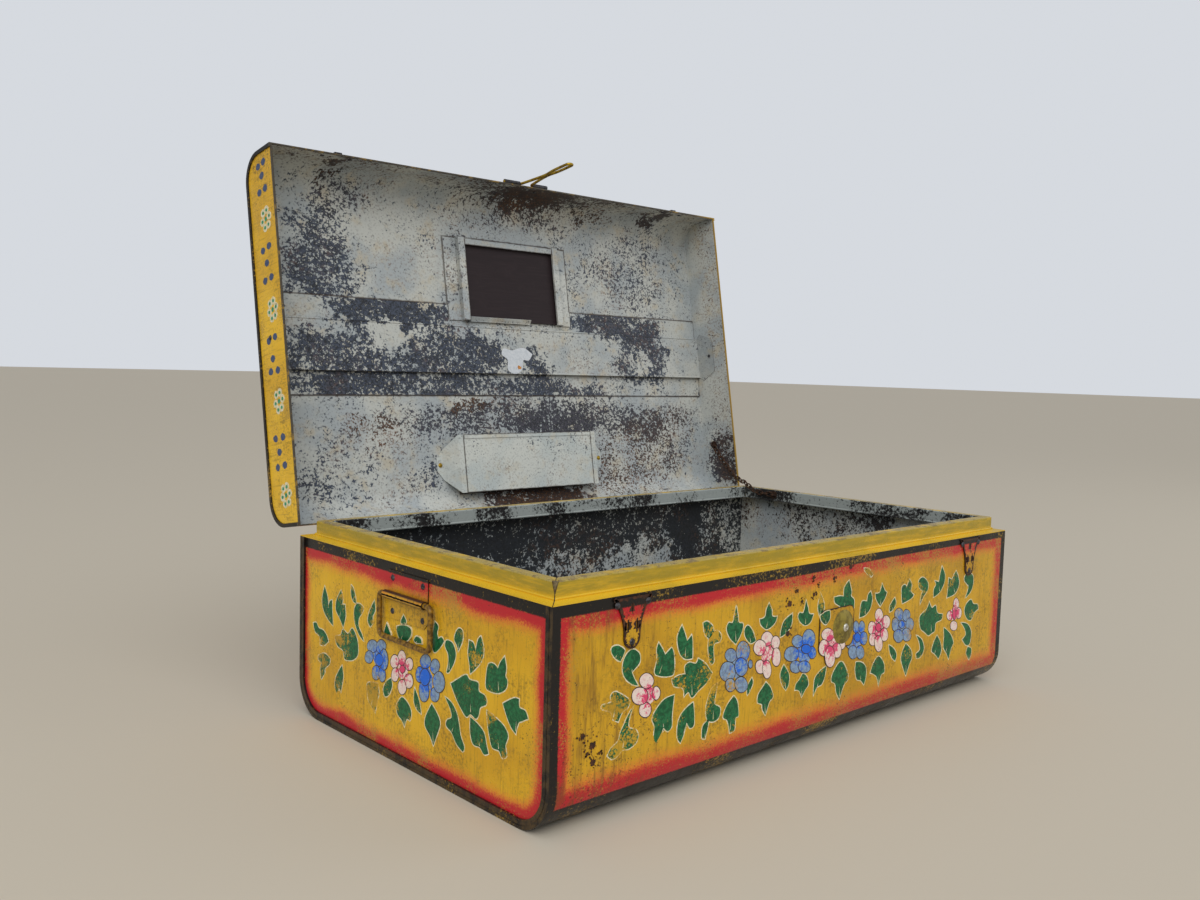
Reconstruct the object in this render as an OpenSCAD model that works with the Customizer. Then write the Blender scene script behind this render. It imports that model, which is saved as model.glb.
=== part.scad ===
// Painted sheet-steel trunk, standing with its lid open.
// Millimetres, +Z up, the front faces -Y, the origin is the centre of the underside.

/* [Trunk] */
// Length over the seams at both ends
trunk_w = 711; // [640:1:800]
// Depth from the front wall to the back wall
trunk_d = 410; // [380:1:460]
// Height of the base walls, up to the ledge
base_h = 186; // [170:1:230]
// Height of the closed lid above the ledge
lid_h = 64; // [56:1:90]
// Thickness of the sheet steel
sheet = 0.8; // [0.6:0.1:1.2]
// Outer radius of the long lower edges of the base
base_r = 39; // [25:1:55]
// Outer radius of the long upper edges of the lid
lid_r = 31; // [20:1:45]
// Angle at which the lid stands open
open_angle = 100; // [70:1:105]

/* [Seams and hems] */
// Width of the folded band round each end of the base
seam_w = 8; // [6:0.5:12]
// How far that band stands in front of the end panel
seam_proud = 2.4; // [1.6:0.1:3.2]
// Distance of the band's groove from its outer edge
groove_at = 3; // [2:0.5:5]
// Width of the band's groove
groove_w = 0.7; // [0.4:0.1:1]
// Width of the folded rim round each end of the lid
lid_seam_w = 4; // [3:0.5:8]
// How far that rim stands in front of the lid's end panel
lid_seam_proud = 1.6; // [1.2:0.1:2.4]
// Height of the doubled hem along the lid's open edge
hem_h = 6; // [4:0.5:9]
// Height of the closed lid's edge above the base walls
lid_gap = 1.2; // [1:0.1:2]

/* [Collar] */
// Width of the ledge outside the collar
ledge_w = 12; // [9:0.5:14]
// Rise of the ledge towards the collar
ledge_rise = 1.2; // [0.6:0.1:1.5]
// Height of the collar's top above the base walls
collar_h = 16.5; // [14:0.5:22]
// Width of the collar's top face
collar_top = 12; // [9:0.5:16]
// Height of the collar's inner flange
flange_h = 15.5; // [10:0.5:15.5]
// Radius of the bead at the foot of the collar
bead_r = 1.2; // [0.8:0.1:1.6]
// Gap in the collar's mitres
mitre_gap = 0.6; // [0.2:0.1:1.2]
// Width at the top of the sprung mitre, front left
sprung_gap = 6; // [3:0.5:8]
// Leg length of the angle pieces under the mitres
angle_leg = 11; // [8:0.5:14]

/* [Hinges] */
// Distance of the middle of each hinge from the trunk's end
hinge_in = 145.5; // [100:0.5:200]
// Width of a hinge
hinge_w = 60; // [40:1:80]
// Height of a hinge leaf
leaf_h = 30; // [20:1:36]
// Thickness of a hinge leaf
leaf_t = 1.2; // [0.8:0.1:1.6]
// Distance of the hinge pin behind the back wall
pin_out = 6; // [5:0.1:8]
// Height of the hinge pin above the ledge
pin_up = 3; // [2.5:0.1:4]
// Radius of the hinge pin
pin_r = 1.5; // [1.2:0.1:1.8]
// Outer radius of the hinge knuckles
knuckle_r = 3.2; // [2.8:0.1:3.5]

/* [Handles] */
// Distance of a handle's pivot below the top of the base walls
handle_drop = 30.4; // [27:0.1:60]
// Length of the plate that is rolled round the bail
handle_plate_w = 66; // [50:1:72]
// Height of that plate
handle_plate_h = 45; // [38:1:48]
// Thickness of that plate
handle_plate_t = 1.2; // [0.8:0.1:1.5]
// Diameter of the bail's rod
bail_d = 5; // [4:0.1:6]
// Width of the bail between the middles of its legs
bail_w = 85; // [80:1:110]
// Drop of the bail from its pivot to its grip
bail_drop = 40; // [34:1:60]
// Bend radius of the bail's upper corners
bail_r_top = 4.5; // [3.5:0.1:4.5]
// Bend radius of the bail's lower corners
bail_r_low = 7; // [5:0.5:12]
// Distance of the bail's pivot from the end panel
bail_out = 4.6; // [4.5:0.1:6]
// Spacing of the handle's rivets along the plate
handle_rivet_w = 50; // [36:1:52]
// Spacing of the handle's rivets up and down the plate
handle_rivet_h = 31; // [26:1:34]

/* [Catches and lock] */
// Distance of the middle of each catch from the trunk's end
catch_in = 84.5; // [75:0.5:130]
// Spacing of a catch's two upper rivets
catch_rivet_w = 35; // [32:1:36]
// Width of a catch plate at its top
catch_w = 43; // [42:1:48]
// Width of a catch plate at its foot
catch_foot_w = 18; // [16:1:22]
// Height of a catch plate
catch_h = 43; // [40:1:50]
// Thickness of a catch plate
catch_t = 1.5; // [1:0.1:2]
// Height of the lid's half of a catch
lid_catch_h = 12; // [10:0.5:15]
// Width of the lock plate
lock_w = 58; // [50:1:62]
// Height of the lock plate
lock_h = 42; // [40:1:50]
// Distance of the middle of the lock plate below the top of the base walls
lock_drop = 70; // [60:1:86]
// Distance of the lock plate to the right of the middle
lock_x = 15; // [0:1:20]
// Thickness of the lock plate
lock_t = 0.8; // [0.6:0.1:0.9]
// Radius of the round boss on the lock plate
boss_r = 17.5; // [14:0.5:18]
// Height of the boss
boss_h = 3.5; // [2.5:0.1:5]
// Distance of the boss to the right of the middle of the plate
boss_x = 10.5; // [9:0.5:11]

/* [Hasp] */
// Distance of the hasp from the middle of the trunk, to the right
hasp_x = -4; // [-6:1:0]
// Diameter of the hasp's wire
hasp_d = 3.4; // [2.8:0.1:3.8]
// Length of the hasp from its pivot
hasp_len = 92; // [80:1:110]
// Outer width of the hasp's eye
eye_w = 12.4; // [11.5:0.1:14]
// Length of the hasp's eye
eye_len = 46; // [36:1:50]
// Distance between the hasp's legs at the pivot
hasp_root = 15; // [12:0.5:17]
// Length of the stem, where the hasp's legs run side by side
stem_len = 6; // [4:0.5:10]
// Length of each clip that holds the hasp
clip_w = 24; // [18:1:28]
// Height of each clip above the pivot
clip_h = 15; // [13:0.5:18]
// Height of the hasp's pivot above the open edge of the lid
hasp_up = 4; // [3.5:0.1:5]

/* [Lid fittings] */
// Half width of the raised band of the stiffener
band_half = 30; // [24:1:31]
// Height of the raised band
band_up = 6; // [4:0.5:9]
// Width of each flat flange of the stiffener
band_flange = 28; // [18:1:30]
// Reach of the stiffener's tabs down the end panels
tab_reach = 36; // [28:1:38]
// Width of the mirror opening
mirror_w = 144; // [120:1:160]
// Height of the mirror opening
mirror_h = 96; // [80:1:98]
// Distance of the lower edge of the mirror opening from the middle of the lid
mirror_low = 39.5; // [39:0.5:44]
// Height of the mirror frame above the lid's sheet
frame_up = 8.8; // [7.5:0.1:11]
// Width of the lip that covers the edge of the mirror
lip_w = 10; // [7:0.5:12]
// Width of the flat flanges beside the mirror
side_flange = 19; // [12:1:22]
// Thickness of the board behind the mirror
board_t = 3; // [2:0.1:4]
// Width of the pocket
pocket_w = 210; // [160:1:240]
// Height of the pocket's front
pocket_h = 72; // [56:1:80]
// Depth of the pocket
pocket_up = 17; // [12:1:22]
// Distance of the pocket's lower edge from the lid's back wall
pocket_in = 24; // [22:0.5:26]
// Reach of the pocket's side flaps
flap_w = 31; // [24:1:36]
// Width of the outer end of a side flap
flap_tip = 16; // [12:1:24]

/* [Chain] */
// Nominal pitch of the chain's links
link_pitch = 8.4; // [7.5:0.1:9]
// Outer width of a link
link_w = 8; // [7.6:0.1:8.6]
// Diameter of the chain's wire
link_d = 1.9; // [1.6:0.1:2]
// Play of one link in the next
link_play = 0.5; // [0.4:0.1:0.7]
// Inner radius of the staples' eyes
eye_in = 3.2; // [3:0.1:3.6]
// Distance of the chain's lid staple in front of the hinge pin, lid closed
chain_lid_y = 76; // [60:1:90]
// Height of the chain's lid staple above the hinge pin, lid closed
chain_lid_z = 40; // [36:1:44]
// Distance of the chain's base staple in front of the back wall
chain_base_y = 76; // [60:1:100]

/* [Rivets] */
// Radius of a rivet's shank
rivet_r = 1.4; // [1.2:0.1:1.6]
// Radius of a rivet's head
head_r = 3; // [2.6:0.1:3.4]
// Height of a rivet's head
head_h = 1.6; // [1.2:0.1:2]

/* [Hidden] */

$fn = 48;
yellow = "#c99a1e";
gold = "#d8b428";
mint = "#a9b3ab";
dark = "#3a3733";
brass = "#a98c2c";
rust = "#5a3a26";
brown = "#33272a";

// Running fit of a pin in its bore, and room round a rivet's shank
fit = 0.06;
// Small overlap that makes cuts run clear of a face
cut = 1;

half_w = trunk_w / 2;
half_d = trunk_d / 2;
end_face = half_w - seam_proud;
lid_end_face = half_w - lid_seam_proud;
lid_low = base_h + lid_gap;
lid_top = base_h + lid_h;
lid_in = lid_top - sheet;
hinge_y = half_d + pin_out;
hinge_z = base_h + pin_up;
collar_in = ledge_w + collar_top;
hinge_x = half_w - hinge_in;
catch_x = half_w - catch_in;
handle_z = base_h - handle_drop;
lock_z = base_h - lock_drop;
pocket_from = half_d - pocket_in - pocket_h;

// Edge distance of a rivet's middle from the end of a plate, and length of a drill cut
rivet_edge = head_r + 1;
drill = 20;

// Gap between a catch plate and the ledge
catch_below = 2;
// Rivet places: [along the wall, height]
catch_rivet_z = base_h - catch_below - rivet_edge - 1.5;
catch_tip_z = base_h - catch_below - catch_h;
catch_tip_rivet_z = catch_tip_z + catch_foot_w / 2 - 3.5;
handle_rivets_at = [for (x = [-1, 1], z = [-1, 1]) [x * handle_rivet_w / 2, z * handle_rivet_h / 2]];
hinge_rivets_at = [for (h = [-1, 1], x = [-1, 0, 1]) h * hinge_x + x * hinge_w / 3];
leaf_below = 6;
hinge_rivet_drop = leaf_h / 2 + leaf_below;
lid_catch_z = lid_low + hem_h + rivet_edge;
clip_t = 1.15;
hasp_axis_out = hasp_d / 2 + fit + clip_t;
hasp_axis_z = lid_low + hasp_up;
hasp_bend = hasp_d * 0.8;
clip_from = hasp_root / 2 + hasp_bend;
clip_rivet_x = clip_from + clip_w / 2;
clip_rivet_z = hasp_axis_z + clip_h - rivet_edge;
tab_rivet_z = lid_in - tab_reach + 2 * rivet_edge;
flap_foot = 9;
flap_rivet_x = pocket_w / 2 + flap_w - flap_foot / 2;
flap_rivet_y = pocket_from + pocket_h / 2;

// Extrudes a side view, drawn with y to the right and z up, from x0 to x1
module across(x0, x1) translate([x0, 0, 0]) rotate([90, 0, 90]) linear_extrude(x1 - x0) children();

// Puts a piece on the outside of a wall, with its own z pointing out and its y pointing up
module on_front(x, z) translate([x, -half_d, z]) rotate([90, 0, 0]) children();
module on_back(x, z) translate([x, half_d, z]) rotate([90, 0, 180]) children();
module on_end(side, face, y, z) translate([side * face, y, z]) rotate([90, 0, side * 90]) children();

// Swings a piece that is drawn on the closed lid to where the open lid holds it
module opened() translate([0, hinge_y, hinge_z]) rotate([-open_angle, 0, 0])
  translate([0, -hinge_y, -hinge_z]) children();

// Draws on the inside of the lid's top: z is then the distance from the sheet into the lid
module on_lid_inside() translate([0, 0, lid_in]) mirror([0, 0, 1]) children();

// Side view of a tub: flat top, lower corners of radius r
module tub(d, h, r) {
  translate([-d / 2, r]) square([d, h - r]);
  translate([-d / 2 + r, 0]) square([d - 2 * r, r]);
  for (s = [-1, 1]) translate([s * (d / 2 - r), r]) circle(r, $fn = 96);
}

// Band of the tub between two distances from its outer edge, open at the top
module tub_band(d, h, r, from, to) difference() {
  translate([0, from]) tub(d - 2 * from, h - from, r - from);
  translate([0, to]) tub(d - 2 * to, h - to + cut, r - to);
}

// The same views for the lid, upside down
module lid_side(from, to) translate([0, lid_top]) mirror([0, 1]) tub_band(trunk_d, lid_h - lid_gap, lid_r, from, to);
module lid_panel(inset) translate([0, lid_top]) mirror([0, 1]) translate([0, inset])
  tub(trunk_d - 2 * inset, lid_h - lid_gap - inset, lid_r - inset);

// Part of a ball that stands on z = 0
module dome(r, h) rotate_extrude() intersection() {
  translate([0, h - (r * r + h * h) / (2 * h)]) circle((r * r + h * h) / (2 * h), $fn = 480);
  square([r, h]);
}

// Rivet: domed head on z = 0, shank through the sheets below it, flat tail behind them
module rivet(grip) {
  dome(head_r, head_h);
  translate([0, 0, -grip]) cylinder(r = rivet_r, h = grip);
  translate([0, 0, -grip - sheet]) cylinder(r = head_r - 0.6, h = sheet);
}

module rivet_hole() cylinder(r = rivet_r + fit, h = drill, center = true);

// Rod between two points
module rod(a, b, d) {
  v = b - a;
  translate(a) rotate([0, acos(v.z / norm(v)), atan2(v.y, v.x)]) cylinder(d = d, h = norm(v));
}

// Quarter or other bend of a rod, in the xy plane, round the origin
module bend(r, d, from, sweep) rotate([0, 0, from]) rotate_extrude(angle = sweep) translate([r, 0]) circle(d = d, $fn = 24);

module base_wrap() color(yellow) difference() {
  union() {
    across(-half_w, half_w) tub_band(trunk_d, base_h, base_r, 0, sheet);
    for (x = [-half_w, end_face]) across(x, x + seam_proud) tub_band(trunk_d, base_h, base_r, 0, seam_w);
  }
  for (s = [-1, 1]) translate([s * half_w, 0, 0])
    across(-groove_w / 2, groove_w / 2) tub_band(trunk_d, base_h + cut, base_r, groove_at, groove_at + groove_w);
  for (s = [-1, 1]) catch_rivet_places(s) rivet_hole();
  for (x = hinge_rivets_at) on_back(x, base_h - hinge_rivet_drop) rivet_hole();
  on_front(lock_x + boss_x, lock_z) rivet_hole();
}

module base_end(side) color(yellow) difference() {
  across(min(side * end_face, side * (end_face - sheet)), max(side * end_face, side * (end_face - sheet)))
    translate([0, sheet]) tub(trunk_d - 2 * sheet, base_h - sheet, base_r - sheet);
  for (p = handle_rivets_at) on_end(side, end_face, p.x, handle_z + p.y) rivet_hole();
}
module base_end_left() base_end(-1);
module base_end_right() base_end(1);

// Cross section of a collar strip: x is the distance inwards from the wall, y the height above it
module collar_section() {
  flat = ledge_w / 4;
  soft = 1;
  polygon([
    [0, 0], [0, sheet], [flat, sheet], [ledge_w, ledge_rise + sheet],
    [ledge_w, collar_h - soft], [ledge_w + soft, collar_h],
    [collar_in - soft, collar_h], [collar_in, collar_h - soft],
    [collar_in, collar_h - flange_h], [collar_in - sheet, collar_h - flange_h],
    [collar_in - sheet, collar_h - sheet], [ledge_w + sheet, collar_h - sheet],
    [ledge_w + sheet, ledge_rise], [flat, 0]
  ]);
}

// Collar strip along x, its outer edge on y = 0, mitred at both ends
module collar_strip(len) intersection() {
  union() {
    translate([-len / 2, 0, 0]) rotate([90, 0, 90]) linear_extrude(len) collar_section();
    for (at = [[ledge_w - bead_r / 3, ledge_rise + sheet + bead_r / 2], [collar_in - sheet / 2, collar_h - flange_h + bead_r]])
      translate([-len / 2, at.x, at.y]) rotate([0, 90, 0]) cylinder(r = bead_r, h = len);
  }
  translate([0, 0, -cut]) linear_extrude(collar_h + 2 * cut) polygon([
    [-len / 2 + mitre_gap, 0], [len / 2 - mitre_gap, 0],
    [len / 2 - mitre_gap - 2 * collar_in, 2 * collar_in], [-len / 2 + mitre_gap + 2 * collar_in, 2 * collar_in]
  ]);
}

// Wedge that is missing where the front left mitre has sprung open
module sprung_mitre() translate([-half_w + ledge_w, -half_d + ledge_w, base_h + collar_h + cut / 2])
  rotate([0, 0, 45]) rotate([90, 0, 90]) translate([0, 0, -3 * bead_r])
  linear_extrude(3 * bead_r + collar_top * 0.6) polygon([[-sprung_gap / 2, 0], [sprung_gap / 2, 0], [0, -collar_h * 0.75]]);

module collar_front() color(gold) difference() {
  translate([0, -half_d, base_h]) collar_strip(trunk_w);
  sprung_mitre();
}
module collar_rear() color(gold) translate([0, half_d, base_h]) rotate([0, 0, 180]) collar_strip(trunk_w);
module collar_left() color(gold) difference() {
  translate([-half_w, 0, base_h]) rotate([0, 0, -90]) collar_strip(trunk_d);
  sprung_mitre();
}
module collar_right() color(gold) difference() {
  translate([half_w, 0, base_h]) rotate([0, 0, 90]) collar_strip(trunk_d);
  on_right_collar() rivet_hole();
}

// Angle pieces that back the mitres from inside
module collar_corner_angles() color(mint) for (sx = [-1, 1], sy = [-1, 1]) scale([sx, sy, 1])
  translate([half_w - ledge_w - sheet - angle_leg, half_d - ledge_w - sheet - angle_leg, base_h + ledge_rise + 2 * bead_r])
  difference() {
    cube([angle_leg, angle_leg, collar_h - sheet - ledge_rise - 2 * bead_r]);
    translate([-cut, -cut, -cut]) cube([angle_leg + cut - sheet, angle_leg + cut - sheet, collar_h - ledge_rise - 2 * bead_r - sheet - sheet + cut]);
  }

module catch_rivet_places(side) {
  for (x = [-1, 1]) on_front(side * catch_x + x * catch_rivet_w / 2, catch_rivet_z) children();
  on_front(side * catch_x, catch_tip_rivet_z) children();
}

// Half width of a catch plate at a share of its height, from its foot to its top
function catch_flank(t) = catch_foot_w / 2 + (catch_w - catch_foot_w) / 2 * pow(t, 2.2);

module catch_outline() {
  foot = catch_foot_w / 2;
  rise = catch_h - foot;
  steps = 12;
  flank = [for (i = [0:steps]) [catch_flank(i / steps), foot + rise * i / steps]];
  polygon(concat(flank, [for (i = [steps:-1:0]) [-flank[i].x, flank[i].y]]));
  translate([0, foot]) circle(foot);
}

module catch_plate(side) color(yellow) difference() {
  slot_w = 2;
  slot_h = 6.5;
  slot_x = catch_w / 8.6;
  slot_low = catch_foot_w - 2;
  slot_top = 5.5;
  on_front(side * catch_x, catch_tip_z) linear_extrude(catch_t) difference() {
    catch_outline();
    for (x = [-1, 1]) translate([x * slot_x - slot_w / 2, slot_low]) square([slot_w, slot_h]);
    translate([-slot_w / 2, catch_h - slot_h - slot_top]) square([slot_w / 2, slot_h]);
  }
  catch_rivet_places(side) rivet_hole();
}
module catch_plate_left() catch_plate(-1);
module catch_plate_right() catch_plate(1);

module catch_plate_rivets() color(dark) for (s = [-1, 1])
  catch_rivet_places(s) translate([0, 0, catch_t]) rivet(catch_t + sheet);

module lock_plate() color(yellow) on_front(lock_x, lock_z) difference() {
  corner = 8;
  linear_extrude(lock_t) {
    square([lock_w - 2 * corner, lock_h], center = true);
    square([lock_w, lock_h - 2 * corner], center = true);
    for (x = [-1, 1], y = [-1, 1]) translate([x * (lock_w / 2 - corner), y * (lock_h / 2 - corner)]) circle(corner);
  }
  translate([boss_x, 0, 0]) rivet_hole();
}

module lock_boss() color(brass) on_front(lock_x + boss_x, lock_z) translate([0, 0, lock_t]) difference() {
  dome(boss_r, boss_h);
  rivet_hole();
}

// Tubular stud in the middle of the boss
module lock_stud() color(dark) on_front(lock_x + boss_x, lock_z) {
  grip = lock_t + boss_h + sheet;
  translate([0, 0, -sheet]) cylinder(r = rivet_r, h = grip);
  translate([0, 0, -2 * sheet]) cylinder(r = head_r, h = sheet);
  translate([0, 0, lock_t + boss_h]) difference() {
    cylinder(r1 = head_r + 1, r2 = head_r, h = 1);
    translate([0, 0, 0.4]) cylinder(r = head_r - 1, h = cut);
  }
}

// Handle plate: a flat plate whose middle is rolled round the bail's top bar
module handle_plate(side) color(yellow) on_end(side, end_face, 0, handle_z) difference() {
  snip = 5.5;
  clear = 0.3;
  union() {
    linear_extrude(handle_plate_t) polygon([
      [-handle_plate_w / 2, handle_plate_h / 2], [-handle_plate_w / 2, -handle_plate_h / 2 + snip],
      [-handle_plate_w / 2 + snip, -handle_plate_h / 2], [handle_plate_w / 2 - snip, -handle_plate_h / 2],
      [handle_plate_w / 2, -handle_plate_h / 2 + snip], [handle_plate_w / 2, handle_plate_h / 2]
    ]);
    translate([-handle_plate_w / 2, 0, bail_out]) rotate([0, 90, 0]) cylinder(r = roll_r, h = handle_plate_w);
    translate([-handle_plate_w / 2, -roll_r * 0.8, 0]) cube([handle_plate_w, roll_r * 1.6, bail_out - bail_d / 2 - clear]);
  }
  translate([-handle_plate_w / 2 - cut, 0, bail_out]) rotate([0, 90, 0])
    cylinder(d = bail_d + 2 * fit, h = handle_plate_w + 2 * cut);
  for (p = handle_rivets_at) translate([p.x, p.y, 0]) rivet_hole();
}
roll_r = bail_d / 2 + fit + handle_plate_t;
module handle_plate_left() handle_plate(-1);
module handle_plate_right() handle_plate(1);

module handle_rivets() color(dark) for (s = [-1, 1], p = handle_rivets_at)
  on_end(s, end_face, p.x, handle_z + p.y) translate([0, 0, handle_plate_t]) rivet(handle_plate_t + sheet);

// Bail: closed ring of rod, hanging from the roll
module handle_bail(side) color(brass) on_end(side, end_face, 0, handle_z) translate([0, 0, bail_out]) {
  x_top = bail_w / 2 - bail_r_top;
  x_low = bail_w / 2 - bail_r_low;
  rod([-x_top, 0, 0], [x_top, 0, 0], bail_d);
  rod([-x_low, -bail_drop, 0], [x_low, -bail_drop, 0], bail_d);
  for (s = [-1, 1]) {
    rod([s * bail_w / 2, -bail_r_top, 0], [s * bail_w / 2, -bail_drop + bail_r_low, 0], bail_d);
    translate([s * x_top, -bail_r_top, 0]) bend(bail_r_top, bail_d, s > 0 ? 0 : 90, 90);
    translate([s * x_low, -bail_drop + bail_r_low, 0]) bend(bail_r_low, bail_d, s > 0 ? 270 : 180, 90);
  }
}
module handle_bail_left() handle_bail(-1);
module handle_bail_right() handle_bail(1);

// Hinge leaf drawn as on the base; up = -1 draws the lid's leaf
knuckle_gap = 0.3;
knuckle_mid = hinge_w / 3;
strap_reach = 12;
strap_root = 5;
module leaf(up) {
  across(-hinge_w / 2, hinge_w / 2) translate([half_d, hinge_z]) scale([1, up])
    translate([0, -pin_up - leaf_below - leaf_h]) square([leaf_t, leaf_h]);
  for (part = up > 0 ? [[-hinge_w / 2, -knuckle_mid / 2 - knuckle_gap / 2], [knuckle_mid / 2 + knuckle_gap / 2, hinge_w / 2]]
                     : [[-knuckle_mid / 2 + knuckle_gap / 2, knuckle_mid / 2 - knuckle_gap / 2]])
    across(part[0], part[1]) translate([hinge_y, hinge_z]) scale([1, up]) {
      circle(knuckle_r);
      polygon([[-pin_out, -pin_up - strap_reach], [-pin_out + leaf_t, -pin_up - strap_reach],
        [knuckle_r * 0.7, -knuckle_r * 0.7], [-knuckle_r * 0.8, -knuckle_r * 0.6], [-pin_out, -pin_up - strap_root]]);
    }
}
module pin_bore() translate([-hinge_w, hinge_y, hinge_z]) rotate([0, 90, 0]) cylinder(r = pin_r + fit, h = 2 * hinge_w);

module hinge_base_leaves() color(yellow) difference() {
  for (s = [-1, 1]) translate([s * hinge_x, 0, 0]) difference() {
    leaf(1);
    pin_bore();
  }
  for (x = hinge_rivets_at) on_back(x, base_h - hinge_rivet_drop) rivet_hole();
}

module hinge_lid_leaves() color(yellow) opened() difference() {
  for (s = [-1, 1]) translate([s * hinge_x, 0, 0]) difference() {
    leaf(-1);
    pin_bore();
  }
  for (x = hinge_rivets_at) on_back(x, hinge_z + pin_up + hinge_rivet_drop) rivet_hole();
}

module hinge_pins() color(dark) for (s = [-1, 1]) translate([s * hinge_x, hinge_y, hinge_z]) rotate([0, 90, 0]) {
  cylinder(r = pin_r, h = hinge_w + 2 * sheet, center = true);
  for (e = [-1, 1]) translate([0, 0, e * (hinge_w / 2 + sheet / 2 + fit)]) cylinder(r = pin_r + 0.8, h = sheet, center = true);
}

module hinge_base_rivets() color(dark) for (x = hinge_rivets_at)
  on_back(x, base_h - hinge_rivet_drop) translate([0, 0, leaf_t]) rivet(leaf_t + sheet);

module hinge_lid_rivets() color(dark) opened() for (x = hinge_rivets_at)
  on_back(x, hinge_z + pin_up + hinge_rivet_drop) translate([0, 0, leaf_t]) rivet(leaf_t + sheet);

module lid_wrap() color(mint) opened() difference() {
  union() {
    across(-half_w, half_w) lid_side(0, sheet);
    for (x = [-half_w, lid_end_face]) across(x, x + lid_seam_proud) lid_side(0, lid_seam_w);
    for (s = [-1, 1]) across(-lid_end_face + sheet, lid_end_face - sheet)
      translate([s * (half_d - 1.5 * sheet) - sheet / 2, lid_low]) square([sheet, hem_h]);
  }
  for (s = [-1, 1]) lid_catch_rivet_places(s) rivet_hole();
  for (s = [-1, 1]) on_front(hasp_x + s * clip_rivet_x, clip_rivet_z) rivet_hole();
  for (x = hinge_rivets_at) on_back(x, hinge_z + pin_up + hinge_rivet_drop) rivet_hole();
}

module lid_end(side) color(yellow) opened() difference() {
  union() {
    across(min(side * lid_end_face, side * (lid_end_face - sheet)), max(side * lid_end_face, side * (lid_end_face - sheet)))
      lid_panel(sheet);
    across(min(side * (lid_end_face - sheet), side * (lid_end_face - 2 * sheet)), max(side * (lid_end_face - sheet), side * (lid_end_face - 2 * sheet)))
      translate([-half_d + 2 * sheet, lid_low]) square([trunk_d - 4 * sheet, hem_h]);
  }
  on_end(side, lid_end_face, 0, tab_rivet_z) rivet_hole();
  if (side > 0) on_lid_end_inside() rivet_hole();
}
module lid_end_left() lid_end(-1);
module lid_end_right() lid_end(1);

// Stiffener: hat section along the lid, with a tab turned up against each end panel
module stiffener_section() {
  ridge = 1.2;
  for (s = [-1, 1]) {
    translate([s * (band_half + band_flange / 2) - band_flange / 2, 0]) square([band_flange, sheet]);
    translate([s * (band_half - sheet / 2) - sheet / 2, 0]) square([sheet, band_up]);
    translate([s * (band_half - ridge / 2), band_up - ridge / 2]) circle(ridge);
  }
  translate([-band_half, band_up - sheet]) square([2 * band_half, sheet]);
}

tab_flare = 6;
module lid_stiffener() color(mint) opened() difference() {
  union() {
    on_lid_inside() across(-lid_end_face + sheet, lid_end_face - sheet) stiffener_section();
    for (s = [-1, 1]) on_lid_inside() across(min(s * (lid_end_face - sheet), s * (lid_end_face - 2 * sheet)), max(s * (lid_end_face - sheet), s * (lid_end_face - 2 * sheet)))
      polygon([[-band_half, band_up - sheet], [band_half, band_up - sheet], [band_half + tab_flare, band_up + tab_flare],
        [band_half - tab_flare, tab_reach], [-band_half + tab_flare, tab_reach], [-band_half - tab_flare, band_up + tab_flare]]);
  }
  for (s = [-1, 1]) on_end(s, lid_end_face, 0, tab_rivet_z) rivet_hole();
}

module stiffener_rivets() color(dark) opened() for (s = [-1, 1])
  on_end(s, lid_end_face, 0, tab_rivet_z) rivet(2 * sheet);

// Mirror frame. Each strip lies on the lid's sheet, and steps up over the stiffener's flange.
frame_low = 2 - mirror_low;
mirror_top = -mirror_low - mirror_h;
step_y = -band_half - band_flange;
wall_x = mirror_w / 2 + lip_w;
top_lip = lip_w * 0.7;

// Section of a side strip: x outwards from the lip's edge, y away from the lid's sheet
module side_strip_section(up) {
  translate([lip_w - sheet, up]) square([side_flange + sheet, sheet]);
  translate([lip_w - sheet, up]) square([sheet, frame_up - up]);
  translate([0, frame_up - sheet]) square([lip_w, sheet]);
  translate([0, frame_up - 2 * sheet]) square([sheet, 2 * sheet]);
}

module mirror_side(side) color(mint) opened() on_lid_inside() scale([side, 1, 1]) translate([mirror_w / 2, 0, 0]) {
  y_top = mirror_top - lip_w;
  translate([0, step_y, 0]) rotate([90, 0, 0]) linear_extrude(step_y - y_top) side_strip_section(0);
  translate([0, frame_low, 0]) rotate([90, 0, 0]) linear_extrude(frame_low - step_y + sheet) difference() {
    side_strip_section(sheet);
    square([2 * wall_x, sheet]);
  }
}
module mirror_frame_left() mirror_side(-1);
module mirror_frame_right() mirror_side(1);

module mirror_frame_top() color(mint) opened() on_lid_inside() translate([0, mirror_top, 0]) {
  flange = 4;
  translate([-mirror_w / 2, -top_lip, frame_up - sheet]) cube([mirror_w, top_lip, sheet]);
  translate([-mirror_w / 2, -top_lip, 0]) cube([mirror_w, sheet, frame_up]);
  translate([-mirror_w / 2, -top_lip - flange, 0]) cube([mirror_w, flange + sheet, sheet]);
}

// The lower strip is torn: it ends beyond the middle, and its lip is bent up
module mirror_frame_bottom() color(mint) opened() on_lid_inside() {
  torn_w = mirror_w * 0.68;
  low_lip = lip_w * 0.6;
  low_up = frame_up - 3 - sheet;
  lip_tilt = 32;
  translate([-mirror_w / 2, frame_low, 0]) {
    translate([0, 0, sheet]) cube([torn_w, low_lip, sheet]);
    translate([0, 0, sheet]) cube([torn_w, sheet, low_up]);
    translate([0, 0, low_up]) rotate([-lip_tilt, 0, 0]) translate([0, -low_lip, 0]) cube([torn_w, low_lip + sheet, sheet]);
  }
}

module mirror_backing() color(brown) opened() on_lid_inside()
  translate([-wall_x + 2 * sheet, mirror_top - top_lip + 2 * sheet, sheet])
  cube([2 * wall_x - 4 * sheet, mirror_h + top_lip - 2 * sheet, board_t]);

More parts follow.
